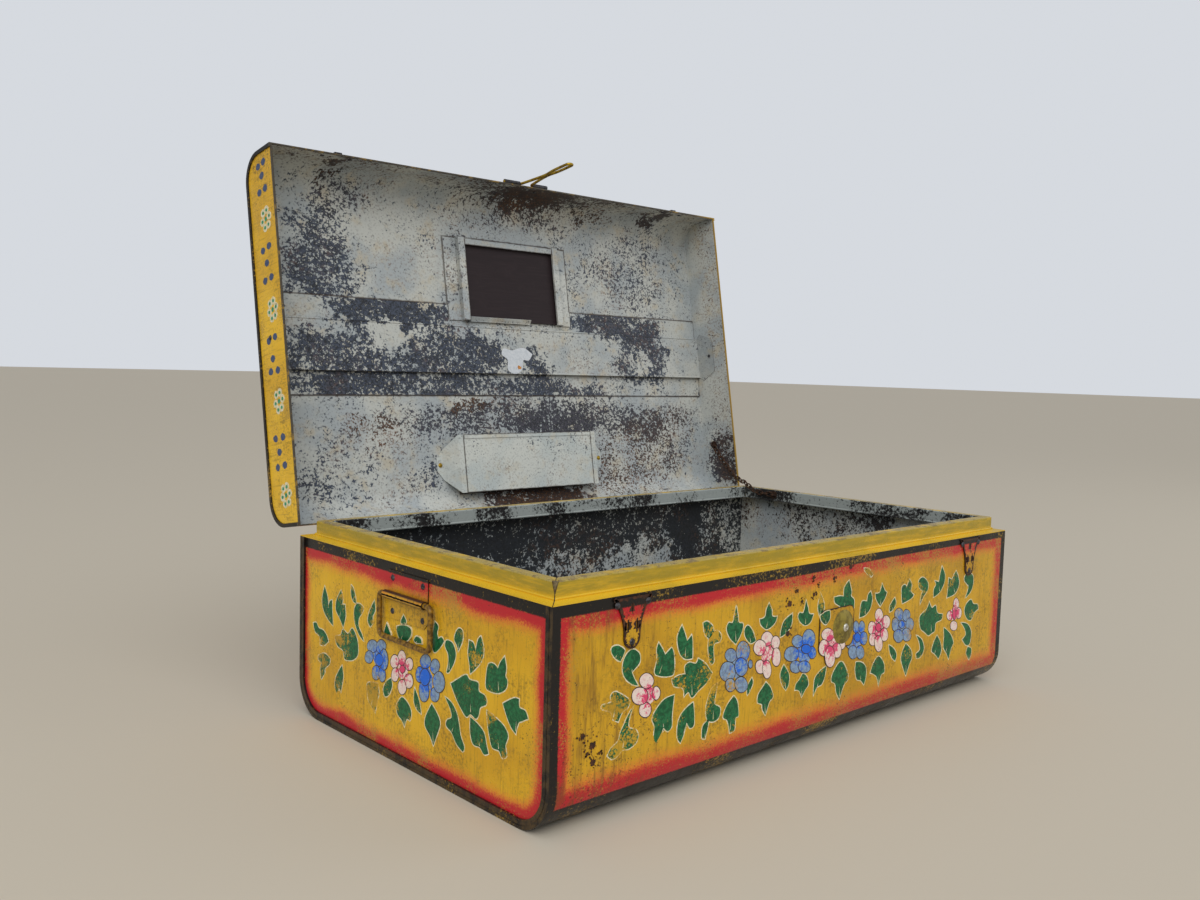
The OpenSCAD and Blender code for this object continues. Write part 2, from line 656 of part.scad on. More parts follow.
// Pocket: front panel with a hem turned over its open edge, its lower wall and an inner flange
pocket_hem = 5;
pocket_slant = 8;
pocket_foot = 9;
module pocket_front() color(mint) opened() on_lid_inside() translate([0, pocket_from, 0]) {
  across(-pocket_w / 2, pocket_w / 2) polygon([
    [0, pocket_up - sheet], [pocket_h - 1.2 * sheet, pocket_up - sheet], [pocket_h - pocket_slant - 0.4 * sheet, sheet],
    [pocket_h - pocket_slant - pocket_foot, sheet], [pocket_h - pocket_slant - pocket_foot, 0],
    [pocket_h - pocket_slant + 0.5 * sheet, 0], [pocket_h, pocket_up], [0, pocket_up]
  ]);
  translate([-pocket_w / 2, 0, pocket_up]) cube([pocket_w, pocket_hem, sheet]);
}

// Side flap: leaves the front panel, bends down to the lid and is riveted at its narrow end
flap_flat = 8;
module pocket_side(side) color(mint) opened() difference() {
  on_lid_inside() scale([side, 1, 1]) translate([pocket_w / 2, pocket_from, 0]) intersection() {
    translate([0, pocket_h + cut, 0]) rotate([90, 0, 0]) linear_extrude(pocket_h + 2 * cut) polygon([
      [0, pocket_up - sheet], [flap_flat, pocket_up - sheet], [flap_w - flap_foot, 0], [flap_w, 0], [flap_w, sheet],
      [flap_w - flap_foot + sheet * 0.4, sheet], [flap_flat + sheet * 0.4, pocket_up], [0, pocket_up]
    ]);
    linear_extrude(pocket_up) polygon([
      [0, 0], [flap_flat, 0], [flap_w, (pocket_h - flap_tip) / 2], [flap_w, (pocket_h + flap_tip) / 2],
      [flap_flat, pocket_h], [0, pocket_h]
    ]);
  }
  translate([side * flap_rivet_x, flap_rivet_y, lid_in]) rivet_hole();
}
module pocket_side_left() pocket_side(-1);
module pocket_side_right() pocket_side(1);

// The pocket's rivets are headed inside the lid and end flush under its top sheet
module pocket_rivets() color(brass) opened() for (s = [-1, 1])
  translate([s * flap_rivet_x, flap_rivet_y, lid_in - sheet]) mirror([0, 0, 1]) {
    dome(head_r, head_h);
    translate([0, 0, -sheet]) cylinder(r = rivet_r, h = sheet);
  }

module lid_catch_rivet_places(side) for (x = [-1, 1])
  on_front(side * catch_x + x * catch_rivet_w / 2, lid_catch_z) children();

// Lid half of a catch: a riveted plate with a lug that stands off it
module lid_catch(side) color(dark) opened() difference() {
  lug_w = 9;
  lug_up = 3.2;
  lug_t = 1;
  lug_reach = 5;
  on_front(side * catch_x, lid_catch_z) {
    translate([-catch_w / 2 - 2, -lid_catch_h / 2, 0]) cube([catch_w + 4, lid_catch_h, leaf_t]);
    translate([-lug_w / 2, -lid_catch_h / 2, 0]) cube([lug_w, leaf_t, lug_up]);
    translate([-lug_w / 2, -lid_catch_h / 2, lug_up - lug_t]) cube([lug_w, lug_reach, lug_t]);
  }
  lid_catch_rivet_places(side) rivet_hole();
}
module lid_catch_left() lid_catch(-1);
module lid_catch_right() lid_catch(1);

module lid_catch_rivets() color(dark) opened() for (s = [-1, 1])
  lid_catch_rivet_places(s) translate([0, 0, leaf_t]) rivet(leaf_t + sheet);

// Clip: a plate on the lid's front skirt, rolled round one end of the hasp's wire
clip_leaf = 1;
module hasp_clip(side) color(dark) opened() difference() {
  on_front(hasp_x, hasp_axis_z) scale([side, 1, 1]) translate([clip_from, 0, 0]) {
    cube([clip_w, clip_h, clip_leaf]);
    translate([0, 0, hasp_axis_out]) rotate([0, 90, 0]) cylinder(r = hasp_axis_out, h = clip_w);
  }
  on_front(hasp_x, hasp_axis_z) translate([0, 0, hasp_axis_out]) rotate([0, 90, 0])
    cylinder(d = hasp_d + 2 * fit, h = 2 * (clip_from + clip_w + cut), center = true);
  on_front(hasp_x + side * clip_rivet_x, clip_rivet_z) rivet_hole();
}
module hasp_clip_left() hasp_clip(-1);
module hasp_clip_right() hasp_clip(1);

module hasp_clip_rivets() color(dark) opened() for (s = [-1, 1])
  on_front(hasp_x + s * clip_rivet_x, clip_rivet_z) translate([0, 0, clip_leaf]) rivet(clip_leaf + sheet);

function unit(v) = v / norm(v);
function turn_at(p, i) = let (a = p[i] - p[i - 1], b = p[i + 1] - p[i]) atan2(a.x * b.y - a.y * b.x, a * b);

// Points of a path in the xy plane whose inner corners are bent to radius r, with k steps a bend
function bent(p, r, k) = concat([p[0]], [for (i = [1:len(p) - 2]) each
  let (u = unit(p[i] - p[i - 1]), t = turn_at(p, i), way = t > 0 ? 1 : -1, n = way * [-u.y, u.x],
    middle = p[i] - u * r * tan(abs(t) / 2) + n * r)
  [for (j = [0:k]) let (a = t * j / k) middle - r * [n.x * cos(a) - n.y * sin(a), n.x * sin(a) + n.y * cos(a)]]
], [p[len(p) - 1]]);

// Round tube of n sides along such a path, closed at both ends
module tube(p, d, n) {
  last = len(p) - 1;
  function side(i) = let (v = unit(p[min(i + 1, last)] - p[max(i - 1, 0)])) [-v.y, v.x];
  points = [for (i = [0:last], j = [0:n - 1]) let (a = 360 * j / n, s = side(i))
    [p[i].x + d / 2 * cos(a) * s.x, p[i].y + d / 2 * cos(a) * s.y, d / 2 * sin(a)]];
  faces = concat(
    [[for (j = [0:n - 1]) j]], [[for (j = [n - 1:-1:0]) last * n + j]],
    [for (i = [0:last - 1], j = [0:n - 1]) each let (q = i * n + j, w = i * n + (j + 1) % n) [[q, q + n, w], [w, q + n, w + n]]]
  );
  polyhedron(points, faces);
}

// Hasp: one wire from clip to clip, drawn in to a stem, with a long eye
module hasp_loop() color(brass) opened() on_front(hasp_x, hasp_axis_z) translate([0, 0, hasp_axis_out]) {
  round_r = (eye_w - hasp_d) / 2;
  round_y = -hasp_len + eye_w / 2;
  stem = hasp_d / 2 + 0.25;
  stem_y = -hasp_len + eye_len;
  half = bent([
    [clip_from + clip_w + 1, 0], [hasp_root / 2, 0], [stem, stem_y + stem_len],
    [stem, stem_y], [round_r, stem_y - eye_w], [round_r, round_y]
  ], hasp_bend, 5);
  end = [for (a = [-15:-15:-165]) [round_r * cos(a), round_y + round_r * sin(a)]];
  tube(concat(half, end, [for (i = [len(half) - 1:-1:0]) [-half[i].x, half[i].y]]), hasp_d, 16);
}

// Staple: a wire eye on a small round plate, riveted through the sheet behind it
eye_mid = eye_in + link_d / 2;
hook_up = 1.5;
hook_side = 0.6;
module staple(turn) {
  cylinder(r = eye_mid + link_d / 2 + 0.5, h = sheet);
  translate([0, 0, -sheet]) cylinder(r = rivet_r, h = sheet);
  rotate([0, 0, turn]) translate([0, 0, sheet]) rotate([90, 0, 0]) bend(eye_mid, link_d, 0, 180);
}

chain_base_at = half_d - chain_base_y;
chain_base_z = base_h + collar_h - flange_h / 2 + 1;
module on_right_collar() translate([half_w - collar_in, chain_base_at, chain_base_z]) rotate([90, 0, -90]) children();
module on_lid_end_inside() translate([lid_end_face - sheet, hinge_y - chain_lid_y, hinge_z + chain_lid_z]) rotate([90, 0, -90]) children();

// Directions on the closed lid turned to the open pose, and back
function swung(v) = [v.x, cos(open_angle) * v.y + sin(open_angle) * v.z, cos(open_angle) * v.z - sin(open_angle) * v.y];
function shut(v) = [v.x, cos(open_angle) * v.y - sin(open_angle) * v.z, cos(open_angle) * v.z + sin(open_angle) * v.y];
hinge_at = [0, hinge_y, hinge_z];

// Chain: hangs from the lid's staple over the back right corner of the collar to the base's staple
collar_z = base_h + collar_h;
lid_hook = hinge_at + swung([lid_end_face - 2 * sheet - hook_up, -chain_lid_y, chain_lid_z]);
base_hook = [half_w - collar_in - sheet - hook_up, chain_base_at, chain_base_z];
drape = 11;
over_gap = [half_w - drape, half_d + 31, collar_z + 31];
over_collar = [half_w - drape - 6, half_d + 2, collar_z + drape + 0.5];
over_edge = [half_w - collar_in - 1, half_d - collar_in - 1, collar_z + 5];
inside = [half_w - collar_in - 6, half_d - collar_in - 2 * drape, collar_z - 4];
lid_pull = unit(over_gap - lid_hook);
base_pull = unit(inside - base_hook);
slip = (link_play + link_d) / 2;
route = [
  lid_hook + lid_pull * (slip + hook_side), over_gap, over_collar, over_edge, inside,
  base_hook + base_pull * (slip + hook_side)
];
lid_turn = let (v = shut(lid_pull)) atan2(v.z, -v.y);
base_turn = atan2(base_pull.z, -base_pull.y);

module chain_staple_base() color(rust) on_right_collar() staple(base_turn);
module chain_staple_lid() color(rust) opened() on_lid_end_inside() staple(lid_turn);

// Smooth curve through the route, and points at even distances along it
function spline(a, b, c, d, t) = 0.5 * (2 * b + (c - a) * t + (2 * a - 5 * b + 4 * c - d) * t * t + (3 * b - a - 3 * c + d) * t * t * t);
function stop(i) = i < 0 ? 2 * route[0] - route[1]
  : i >= len(route) ? 2 * route[len(route) - 1] - route[len(route) - 2] : route[i];
curve = concat([for (i = [0:len(route) - 2], k = [0:11]) spline(stop(i - 1), stop(i), stop(i + 1), stop(i + 2), k / 12)], [route[len(route) - 1]]);
function sums(v, i = 0, s = 0) = i >= len(v) ? [] : concat([s], sums(v, i + 1, s + (i < len(v) - 1 ? norm(v[i + 1] - v[i]) : 0)));
run = sums(curve);
links = 2 * floor(run[len(run) - 1] / link_pitch / 2) + 1;
pitch = run[len(run) - 1] / links;
function along(s, i = 0) = i >= len(run) - 2 || run[i + 1] >= s
  ? curve[i] + (curve[i + 1] - curve[i]) * (s - run[i]) / (run[i + 1] - run[i]) : along(s, i + 1);

// One link along x, its middle at the origin, its inner length p and the play
module link(p) {
  r = (link_w - link_d) / 2;
  straight = round(1000 * ((p + link_play + link_d) / 2 - r)) / 1000;
  for (s = [-1, 1]) {
    translate([s * straight, 0, 0]) bend(r, link_d, s > 0 ? -90 : 90, 180);
    rod([-straight, s * r, 0], [straight, s * r, 0], link_d);
  }
}

// The links stand upright in the staples and twist a little between them
twist = 30;
module stay_chain() color(rust) for (i = [0:links - 1]) {
  a = along(i * pitch);
  b = along((i + 1) * pitch);
  v = b - a;
  translate((a + b) / 2) rotate([0, -asin(v.z / norm(v)), atan2(v.y, v.x)])
    rotate([90 + 90 * (i % 2) + twist * sin(180 * i / (links - 1)), 0, 0]) link(norm(v));
}

base_wrap();
base_end_left();
base_end_right();
collar_front();
collar_rear();
collar_left();
collar_right();
collar_corner_angles();
catch_plate_left();
catch_plate_right();
catch_plate_rivets();
lock_plate();
lock_boss();
lock_stud();
handle_plate_left();
handle_plate_right();
handle_rivets();
hinge_base_leaves();
hinge_pins();
hinge_base_rivets();
chain_staple_base();
stay_chain();
lid_wrap();
lid_end_left();
lid_end_right();
lid_stiffener();
stiffener_rivets();
mirror_frame_left();
mirror_frame_right();
mirror_frame_top();
mirror_frame_bottom();
mirror_backing();
pocket_front();
pocket_side_left();
pocket_side_right();
pocket_rivets();
lid_catch_left();
lid_catch_right();
lid_catch_rivets();
hasp_clip_left();
hasp_clip_right();
hasp_clip_rivets();
hinge_lid_leaves();
hinge_lid_rivets();
chain_staple_lid();
hasp_loop();
handle_bail_left();
handle_bail_right();
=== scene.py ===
"""Dressing of a hand-painted sheet-steel trunk with its lid open: paint, wear, light and camera."""
import logging
import math
import random
from dataclasses import dataclass
from enum import Enum
from typing import Any, Callable, Sequence

import bmesh
import bpy
from mathutils import Matrix, Vector
from mathutils.geometry import tessellate_polygon


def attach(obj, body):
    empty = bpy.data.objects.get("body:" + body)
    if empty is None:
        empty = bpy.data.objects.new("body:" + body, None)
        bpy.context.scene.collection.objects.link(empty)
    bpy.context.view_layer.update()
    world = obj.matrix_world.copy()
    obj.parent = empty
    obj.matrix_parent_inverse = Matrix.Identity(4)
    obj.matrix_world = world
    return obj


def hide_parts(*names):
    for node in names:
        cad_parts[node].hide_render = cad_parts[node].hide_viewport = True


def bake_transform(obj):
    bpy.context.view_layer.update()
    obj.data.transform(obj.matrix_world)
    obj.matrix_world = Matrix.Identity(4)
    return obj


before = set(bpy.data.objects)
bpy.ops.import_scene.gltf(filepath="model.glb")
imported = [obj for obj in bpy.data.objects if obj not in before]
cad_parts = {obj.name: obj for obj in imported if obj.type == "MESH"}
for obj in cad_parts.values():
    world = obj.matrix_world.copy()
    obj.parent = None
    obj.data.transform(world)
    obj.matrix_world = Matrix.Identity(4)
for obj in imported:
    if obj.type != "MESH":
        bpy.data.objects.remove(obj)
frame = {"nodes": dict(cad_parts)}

LOG = logging.getLogger("trunk")
MM = 0.001
Point = tuple[float, float]
Point3 = tuple[float, float, float]
Colour = tuple[float, float, float, float]
Outline = tuple[Point, ...]
Paints = Sequence[bpy.types.Material]


def tint(red: int, green: int, blue: int) -> Colour:
    """Turns a display colour into the linear colour that shaders use.

    Args:
        red, green, blue: the colour as it looks on a screen, 0 to 255.

    Returns:
        The linear colour with full cover.
    """
    def linear(value: int) -> float:
        """Linear strength of one channel."""
        share = value / 255
        return share / 12.92 if share <= 0.04045 else ((share + 0.055) / 1.055) ** 2.4
    return linear(red), linear(green), linear(blue), 1.0


class Side(Enum):
    """Painted faces of the trunk."""

    WRAP = "front, bottom and back of the base"
    END = "end panel of the base"
    LID_WRAP = "top and skirts of the lid"
    LID_END = "end panel of the lid"

    @property
    def lid(self) -> bool:
        """Whether the face is the lid's."""
        return self in (Side.LID_WRAP, Side.LID_END)


@dataclass(frozen=True)
class Trunk:
    """Main sizes of the trunk in millimetres, as the solids have them, with the lid closed."""

    half_w: float = 355.5
    half_d: float = 205.0
    base_h: float = 186.0
    base_r: float = 39.0
    base_end: float = 353.1
    base_end_inner: float = 352.3
    rear_inner: float = 204.2
    lid_low: float = 187.2
    lid_top: float = 250.0
    lid_r: float = 31.0
    lid_end: float = 353.9
    lid_end_inner: float = 353.1
    lid_inner: float = 249.2
    stiffener: float = 242.4
    frame_face: float = 241.0
    pocket_face: float = 232.0
    hinge_y: float = 211.0
    hinge_z: float = 189.0
    open_angle: float = 100.0
    hasp_x: float = -4.0
    hasp_up: float = 4.0
    hasp_out: float = 2.91
    handle_plate_t: float = 1.2
    lock_plate_t: float = 0.8
    lock_plate_middle: Point = (15.0, 116.0)
    lock_plate_half: Point = (29.0, 21.0)

    @property
    def turn(self) -> float:
        """Angle of the open lid in radians."""
        return math.radians(self.open_angle)

    def opened(self, x: float, y: float, z: float) -> Vector:
        """Place in metres to which the open lid takes a point of the closed lid in millimetres."""
        dy, dz = y - self.hinge_y, z - self.hinge_z
        return Vector((
            x, self.hinge_y + math.cos(self.turn) * dy + math.sin(self.turn) * dz,
            self.hinge_z - math.sin(self.turn) * dy + math.cos(self.turn) * dz)) * MM

    def closed(self, spot: Vector) -> Point3:
        """Turns a point of the open lid back to the closed lid, both in millimetres."""
        dy, dz = spot.y - self.hinge_y, spot.z - self.hinge_z
        return (spot.x, self.hinge_y + math.cos(self.turn) * dy - math.sin(self.turn) * dz,
                self.hinge_z + math.sin(self.turn) * dy + math.cos(self.turn) * dz)


TRUNK = Trunk()


class Wire:
    """A shader socket that can stand in sums, products and comparisons."""

    def __init__(self, tree: "ShaderTree", socket: bpy.types.NodeSocket | None) -> None:
        """Keeps the socket and the tree that it belongs to."""
        self.tree = tree
        self.socket = socket

    def _math(self, operation: str, first: Any, second: Any) -> "Wire":
        """Adds one Math node for two values."""
        return self.tree.add("ShaderNodeMath", {"operation": operation}, {0: first, 1: second})

    def __add__(self, other: Any) -> "Wire":
        """Sum."""
        return self._math("ADD", self, other)

    __radd__ = __add__

    def __sub__(self, other: Any) -> "Wire":
        """Difference."""
        return self._math("SUBTRACT", self, other)

    def __rsub__(self, other: Any) -> "Wire":
        """Difference with the value on the left."""
        return self._math("SUBTRACT", other, self)

    def __mul__(self, other: Any) -> "Wire":
        """Product."""
        return self._math("MULTIPLY", self, other)

    __rmul__ = __mul__

    def __gt__(self, other: Any) -> "Wire":
        """1 where this is the greater."""
        return self._math("GREATER_THAN", self, other)

    def __lt__(self, other: Any) -> "Wire":
        """1 where this is the smaller."""
        return self._math("LESS_THAN", self, other)

    def low(self, other: Any) -> "Wire":
        """The smaller of two values."""
        return self._math("MINIMUM", self, other)

    def high(self, other: Any) -> "Wire":
        """The greater of two values."""
        return self._math("MAXIMUM", self, other)

    def size(self) -> "Wire":
        """The value without its sign."""
        return self._math("ABSOLUTE", self, 0.0)

    def root(self) -> "Wire":
        """Square root."""
        return self._math("SQRT", self, 0.0)


class ShaderTree:
    """Node tree of a material or of the world, written as expressions."""

    gloss = 0.34

    def __init__(self, owner: bpy.types.Material | bpy.types.World) -> None:
        """Starts an empty tree.

        Args:
            owner: the material or world that shows it.
        """
        owner.use_nodes = True
        self.owner = owner
        self.graph = owner.node_tree
        self.graph.nodes.clear()

    @classmethod
    def named(cls, name: str) -> "ShaderTree":
        """Starts the tree of a new material of this name."""
        return cls(bpy.data.materials.new(name))

    def add(self, kind: str, settings: dict[str, Any] | None = None, inputs: dict[Any, Any] | None = None,
            out: Any = 0) -> Wire:
        """Adds a node of any kind.

        Args:
            kind: Blender's name of the node type.
            settings: attributes that are set first.
            inputs: values or wires by socket name or number.
            out: name or number of the output that is returned.

        Returns:
            The wire of that output, which is empty for a node that ends the tree.
        """
        node = self.graph.nodes.new(kind)
        for name, value in (settings or {}).items():
            setattr(node, name, value)
        for name, value in (inputs or {}).items():
            if isinstance(value, Wire):
                self.graph.links.new(value.socket, node.inputs[name])
            else:
                node.inputs[name].default_value = value
        return Wire(self, node.outputs[out] if len(node.outputs) else None)

    def mix(self, share: Any, first: Any, second: Any) -> Wire:
        """Colour between two colours or wires, with the share of the second."""
        return self.add("ShaderNodeMix", {"data_type": "RGBA"}, {0: share, 6: first, 7: second}, 2)

    def vector(self, operation: str, first: Any, second: Any) -> Wire:
        """Vector Math of two vectors."""
        return self.add("ShaderNodeVectorMath", {"operation": operation}, {0: first, 1: second})

    def dot(self, first: Any, second: Any) -> Wire:
        """Dot product of two vectors."""
        return self.add("ShaderNodeVectorMath", {"operation": "DOT_PRODUCT"}, {0: first, 1: second}, "Value")

    def smooth(self, value: Wire, low: float, high: float, start: float = 0.0, end: float = 1.0) -> Wire:
        """Soft step of a value.

        Args:
            value: the wire.
            low, high: where the step begins and ends.
            start, end: the results there.

        Returns:
            The stepped value.
        """
        if low > high:
            low, high, start, end = high, low, end, start
        return self.add("ShaderNodeMapRange", {"interpolation_type": "SMOOTHSTEP"},
                        {0: value, 1: low, 2: high, 3: start, 4: end})

    def coords(self, name: str) -> Wire:
        """Texture coordinate of a name."""
        return self.add("ShaderNodeTexCoord", out=name)

    def place(self, lid: bool) -> Wire:
        """Place on the piece.

        Args:
            lid: whether the piece is the lid's and is turned back to the closed lid.

        Returns:
            The place in millimetres.
        """
        spot = self.add("ShaderNodeVectorMath", {"operation": "SCALE"},
                        {0: self.coords("Object"), "Scale": 1 / MM})
        if not lid:
            return spot
        return self.add("ShaderNodeVectorRotate", {"rotation_type": "X_AXIS"}, {
            "Vector": spot, "Center": (0, TRUNK.hinge_y, TRUNK.hinge_z), "Angle": TRUNK.turn})

    def axes(self, at: Wire) -> tuple[Wire, ...]:
        """The three numbers of a place."""
        node = self.add("ShaderNodeSeparateXYZ", None, {0: at}).socket.node
        return tuple(Wire(self, socket) for socket in node.outputs)

    def outside(self, lid: bool) -> Wire:
        """Tells the outside of a sheet from its inside.

        Args:
            lid: whether the sheet is the lid's.

        Returns:
            1 on faces that look away from the middle of the base or lid, 0 on faces that look inwards.
        """
        middle = TRUNK.opened(0, 0, 192) if lid else Vector((0, 0, 120)) * MM
        away = self.vector("SUBTRACT", self.coords("Object"), tuple(middle))
        return self.dot(away, self.coords("Normal")) > 0.0

    def relief(self, height: Any, depth: float, strength: float) -> Wire:
        """Normal of a bump: heights run from 0 to 1, and the depth of 1 is in millimetres."""
        return self.add("ShaderNodeBump", None,
                        {"Height": height, "Distance": depth * MM, "Strength": strength})

    def finish(self, colour: Any, roughness: Any, metallic: Any = 0.0,
               normal: Wire | None = None) -> bpy.types.Material:
        """Adds the surface and returns the material.

        Args:
            colour, roughness, metallic, normal: values or wires.

        Returns:
            The finished material.
        """
        inputs = {"Base Color": colour, "Roughness": roughness, "Metallic": metallic,
                  "Specular IOR Level": self.gloss}
        if normal is not None:
            inputs["Normal"] = normal
        surface = self.add("ShaderNodeBsdfPrincipled", None, inputs)
        self.add("ShaderNodeOutputMaterial", None, {"Surface": surface})
        return self.owner


@dataclass(frozen=True)
class Cloud:
    """Cloudy noise, and the levels between which it makes a mark.

    The size is in millimetres. Detail is the number of finer layers and rough is their strength. The mark
    begins at the low level with the least strength and has the most strength from the high level on. The
    stretch multiplies the axes first, so that a number below 1 draws the pattern out.
    """

    size: float
    detail: float = 2.0
    rough: float = 0.5
    low: float = 0.0
    high: float = 1.0
    most: float = 1.0
    least: float = 0.0
    stretch: Point3 | None = None

    def noise(self, tree: ShaderTree, at: Wire) -> Wire:
        """Noise of values round 0.5 at a place in millimetres."""
        spot = tree.vector("MULTIPLY", at, self.stretch) if self.stretch else at
        return tree.add("ShaderNodeTexNoise", {"noise_dimensions": "3D"}, {
            "Vector": spot, "Scale": 1 / self.size, "Detail": self.detail, "Roughness": self.rough})

    def mask(self, tree: ShaderTree, at: Wire, more: Any = None) -> Wire:
        """Strength of the mark at a place in millimetres, after more is added to the noise."""
        value = self.noise(tree, at) if more is None else self.noise(tree, at) + more
        return tree.smooth(value, self.low, self.high, self.least, self.most)


def added(name: str, data: Any) -> bpy.types.Object:
    """Puts an object in the scene.

    Args:
        name: its name.
        data: its mesh, curve, lamp or camera.

    Returns:
        The object.
    """
    item = bpy.data.objects.new(name, data)
    bpy.context.collection.objects.link(item)
    return item


@dataclass(frozen=True)
class Studio:
    """Camera, light and floor. The camera's place is in millimetres, its angles are in radians."""

    focal_px: float = 1071.677
    picture_w: int = 1200
    picture_h: int = 900
    sensor_w: float = 36.0
    eye: Point3 = (-873.69, -819.60, 368.12)
    yaw: float = 0.741332
    pitch: float = -0.076032
    roll: float = 0.027107
    aim: Point3 = (0, 0.05, 0.25)
    floor_reach: float = 30.0
    floor_colour: Colour = tint(206, 196, 178)
    sky: Colour = tint(222, 226, 232)
    sky_light: float = 0.46
    sky_seen: float = 0.92
    sun_power: float = 1.25
    sun_spread: float = math.radians(70)
    sun_way: Point3 = (0.45, 0.65, -1.0)

    def axes(self) -> tuple[Vector, Vector, Vector]:
        """Directions of the picture.

        Returns:
            The directions to the right, up and forward.
        """
        level = math.cos(self.pitch)
        forward = Vector((math.sin(self.yaw) * level, math.cos(self.yaw) * level, math.sin(self.pitch)))
        right = Vector((math.cos(self.yaw), -math.sin(self.yaw), 0))
        up = right.cross(forward)
        across = right * math.cos(self.roll) + up * math.sin(self.roll)
        return across, up * math.cos(self.roll) - right * math.sin(self.roll), forward

    def ray(self, pixel: Point) -> tuple[Vector, Vector]:
        """Line of sight of one pixel.

        Args:
            pixel: the pixel of the photograph.

        Returns:
            The camera's place in metres and the direction of the pixel.
        """
        side, head, forward = self.axes()
        x = (pixel[0] - self.picture_w / 2) / self.focal_px
        y = (pixel[1] - self.picture_h / 2) / self.focal_px
        return Vector(self.eye) * MM, forward + side * x - head * y

    def camera(self) -> None:
        """Sets the camera that the photograph was taken with."""
        side, head, forward = self.axes()
        data = bpy.data.cameras.new("camera")
        data.sensor_width = self.sensor_w
        data.lens = self.focal_px * self.sensor_w / self.picture_w
        rows = Matrix((side, head, -forward)).transposed().to_4x4()
        rows.translation = Vector(self.eye) * MM
        camera = added("camera", data)
        camera.matrix_world = rows
        bpy.context.scene.camera = camera

    def lamp(self, name: str, at: Point3, size: float, power: float, colour: Point3) -> None:
        """Adds a large soft lamp that looks at the trunk.

        Args:
            name: the lamp's name.
            at: its place in metres.
            size: its width in metres.
            power: its power in watts.
            colour: its colour.
        """
        data = bpy.data.lights.new(name, "AREA")
        data.shape, data.size, data.energy, data.color = "DISK", size, power, colour
        lamp = added(name, data)
        lamp.location = at
        lamp.rotation_euler = (Vector(self.aim) - Vector(at)).to_track_quat("-Z", "Y").to_euler()

    def sun(self) -> None:
        """Adds the wide soft light of the sky."""
        data = bpy.data.lights.new("sky", "SUN")
        data.energy, data.angle = self.sun_power, self.sun_spread
        added("sky", data).rotation_euler = Vector(self.sun_way).to_track_quat("-Z", "Y").to_euler()

    def room(self) -> None:
        """Sets the world: a pale sky that looks brighter than it shines."""
        world = bpy.data.worlds.new("room")
        tree = ShaderTree(world)
        low, high = (tree.add("ShaderNodeBackground", None, {"Color": self.sky, "Strength": power})
                     for power in (self.sky_light, self.sky_seen))
        seen = tree.add("ShaderNodeLightPath", out="Is Camera Ray")
        sky = tree.add("ShaderNodeMixShader", None, {0: seen, 1: low, 2: high})
        tree.add("ShaderNodeOutputWorld", None, {0: sky})
        bpy.context.scene.world = world

    def floor(self) -> None:
        """Lays the plain floor."""
        mesh = bpy.data.meshes.new("floor")
        reach = self.floor_reach
        corners = [(-reach, -reach, 0), (reach, -reach, 0), (reach, reach, 0), (-reach, reach, 0)]
        mesh.from_pydata(corners, [], [(0, 1, 2, 3)])
        mesh.materials.append(ShaderTree.named("plain floor").finish(self.floor_colour, 0.7))
        added("floor", mesh)

    def build(self) -> None:
        """Sets up the studio."""
        self.camera()
        self.lamp("window", (-2.5, -1.9, 2.1), 2.2, 30.0, (1.0, 0.99, 0.97))
        self.lamp("fill", (2.6, -1.8, 1.6), 2.4, 11.0, (0.96, 0.98, 1.0))
        self.sun()
        self.room()
        self.floor()
        bpy.context.scene.view_settings.view_transform = "Standard"


STUDIO = Studio()


@dataclass(frozen=True)
class Ground:
    """Yellow enamel with drifts, stains, pits and fine brush streaks, as the outside has it."""

    light: Colour = tint(220, 170, 34)
    deep: Colour = tint(198, 148, 26)
    olive: Colour = tint(140, 112, 34)
    stain: Colour = tint(112, 78, 34)
    pit: Colour = tint(50, 34, 26)
    patches: Cloud = Cloud(80, 3.0, 0.55, 0.38, 0.66)
    streaks: Cloud = Cloud(2.6, 4.0, 0.7, 0.5, 0.72, 0.5, stretch=(1, 1, 0.07))
    dirt: Cloud = Cloud(42, 4.0, 0.65, 0.42, 0.64)
    film: Cloud = Cloud(3.4, 4.0, 0.75, 0.46, 0.62, 0.75)
    runs: Cloud = Cloud(7, 4.0, 0.7, 0.54, 0.72, 0.6, stretch=(1, 1, 0.16))
    crowds: Cloud = Cloud(52, low=0.53, high=0.66)
    specks: Cloud = Cloud(2.4, 3.0, 0.7, 0.665, 0.70, 0.85)
    blots: Cloud = Cloud(4.4, 4.0, 0.75, 0.63, 0.67)

    def colour(self, tree: ShaderTree, at: Wire) -> Wire:
        """Colour of the clean to slightly stained paint.

        Args:
            tree: the material's tree.
            at: the place in millimetres.

        Returns:
            The colour.
        """
        base = tree.mix(self.patches.mask(tree, at), self.light, self.deep)
        base = tree.mix(self.streaks.mask(tree, at), base, self.olive)
        dirty = self.dirt.mask(tree, at)
        base = tree.mix(dirty * self.film.mask(tree, at), base, self.olive)
        return tree.mix(self.runs.mask(tree, at) * dirty, base, self.stain)

    def pits(self, tree: ShaderTree, at: Wire, more: Any = 0.0) -> Wire:
        """Share of the surface that is rust pits and specks.

        Args:
            tree: the material's tree.
            at: the place in millimetres.
            more: how much more than usual the place is pitted.

        Returns:
            The share.
        """
        crowd = self.crowds.mask(tree, at).high(more)
        specks = self.specks.mask(tree, at, crowd * 0.06)
        return specks.high(self.blots.mask(tree, at) * crowd)


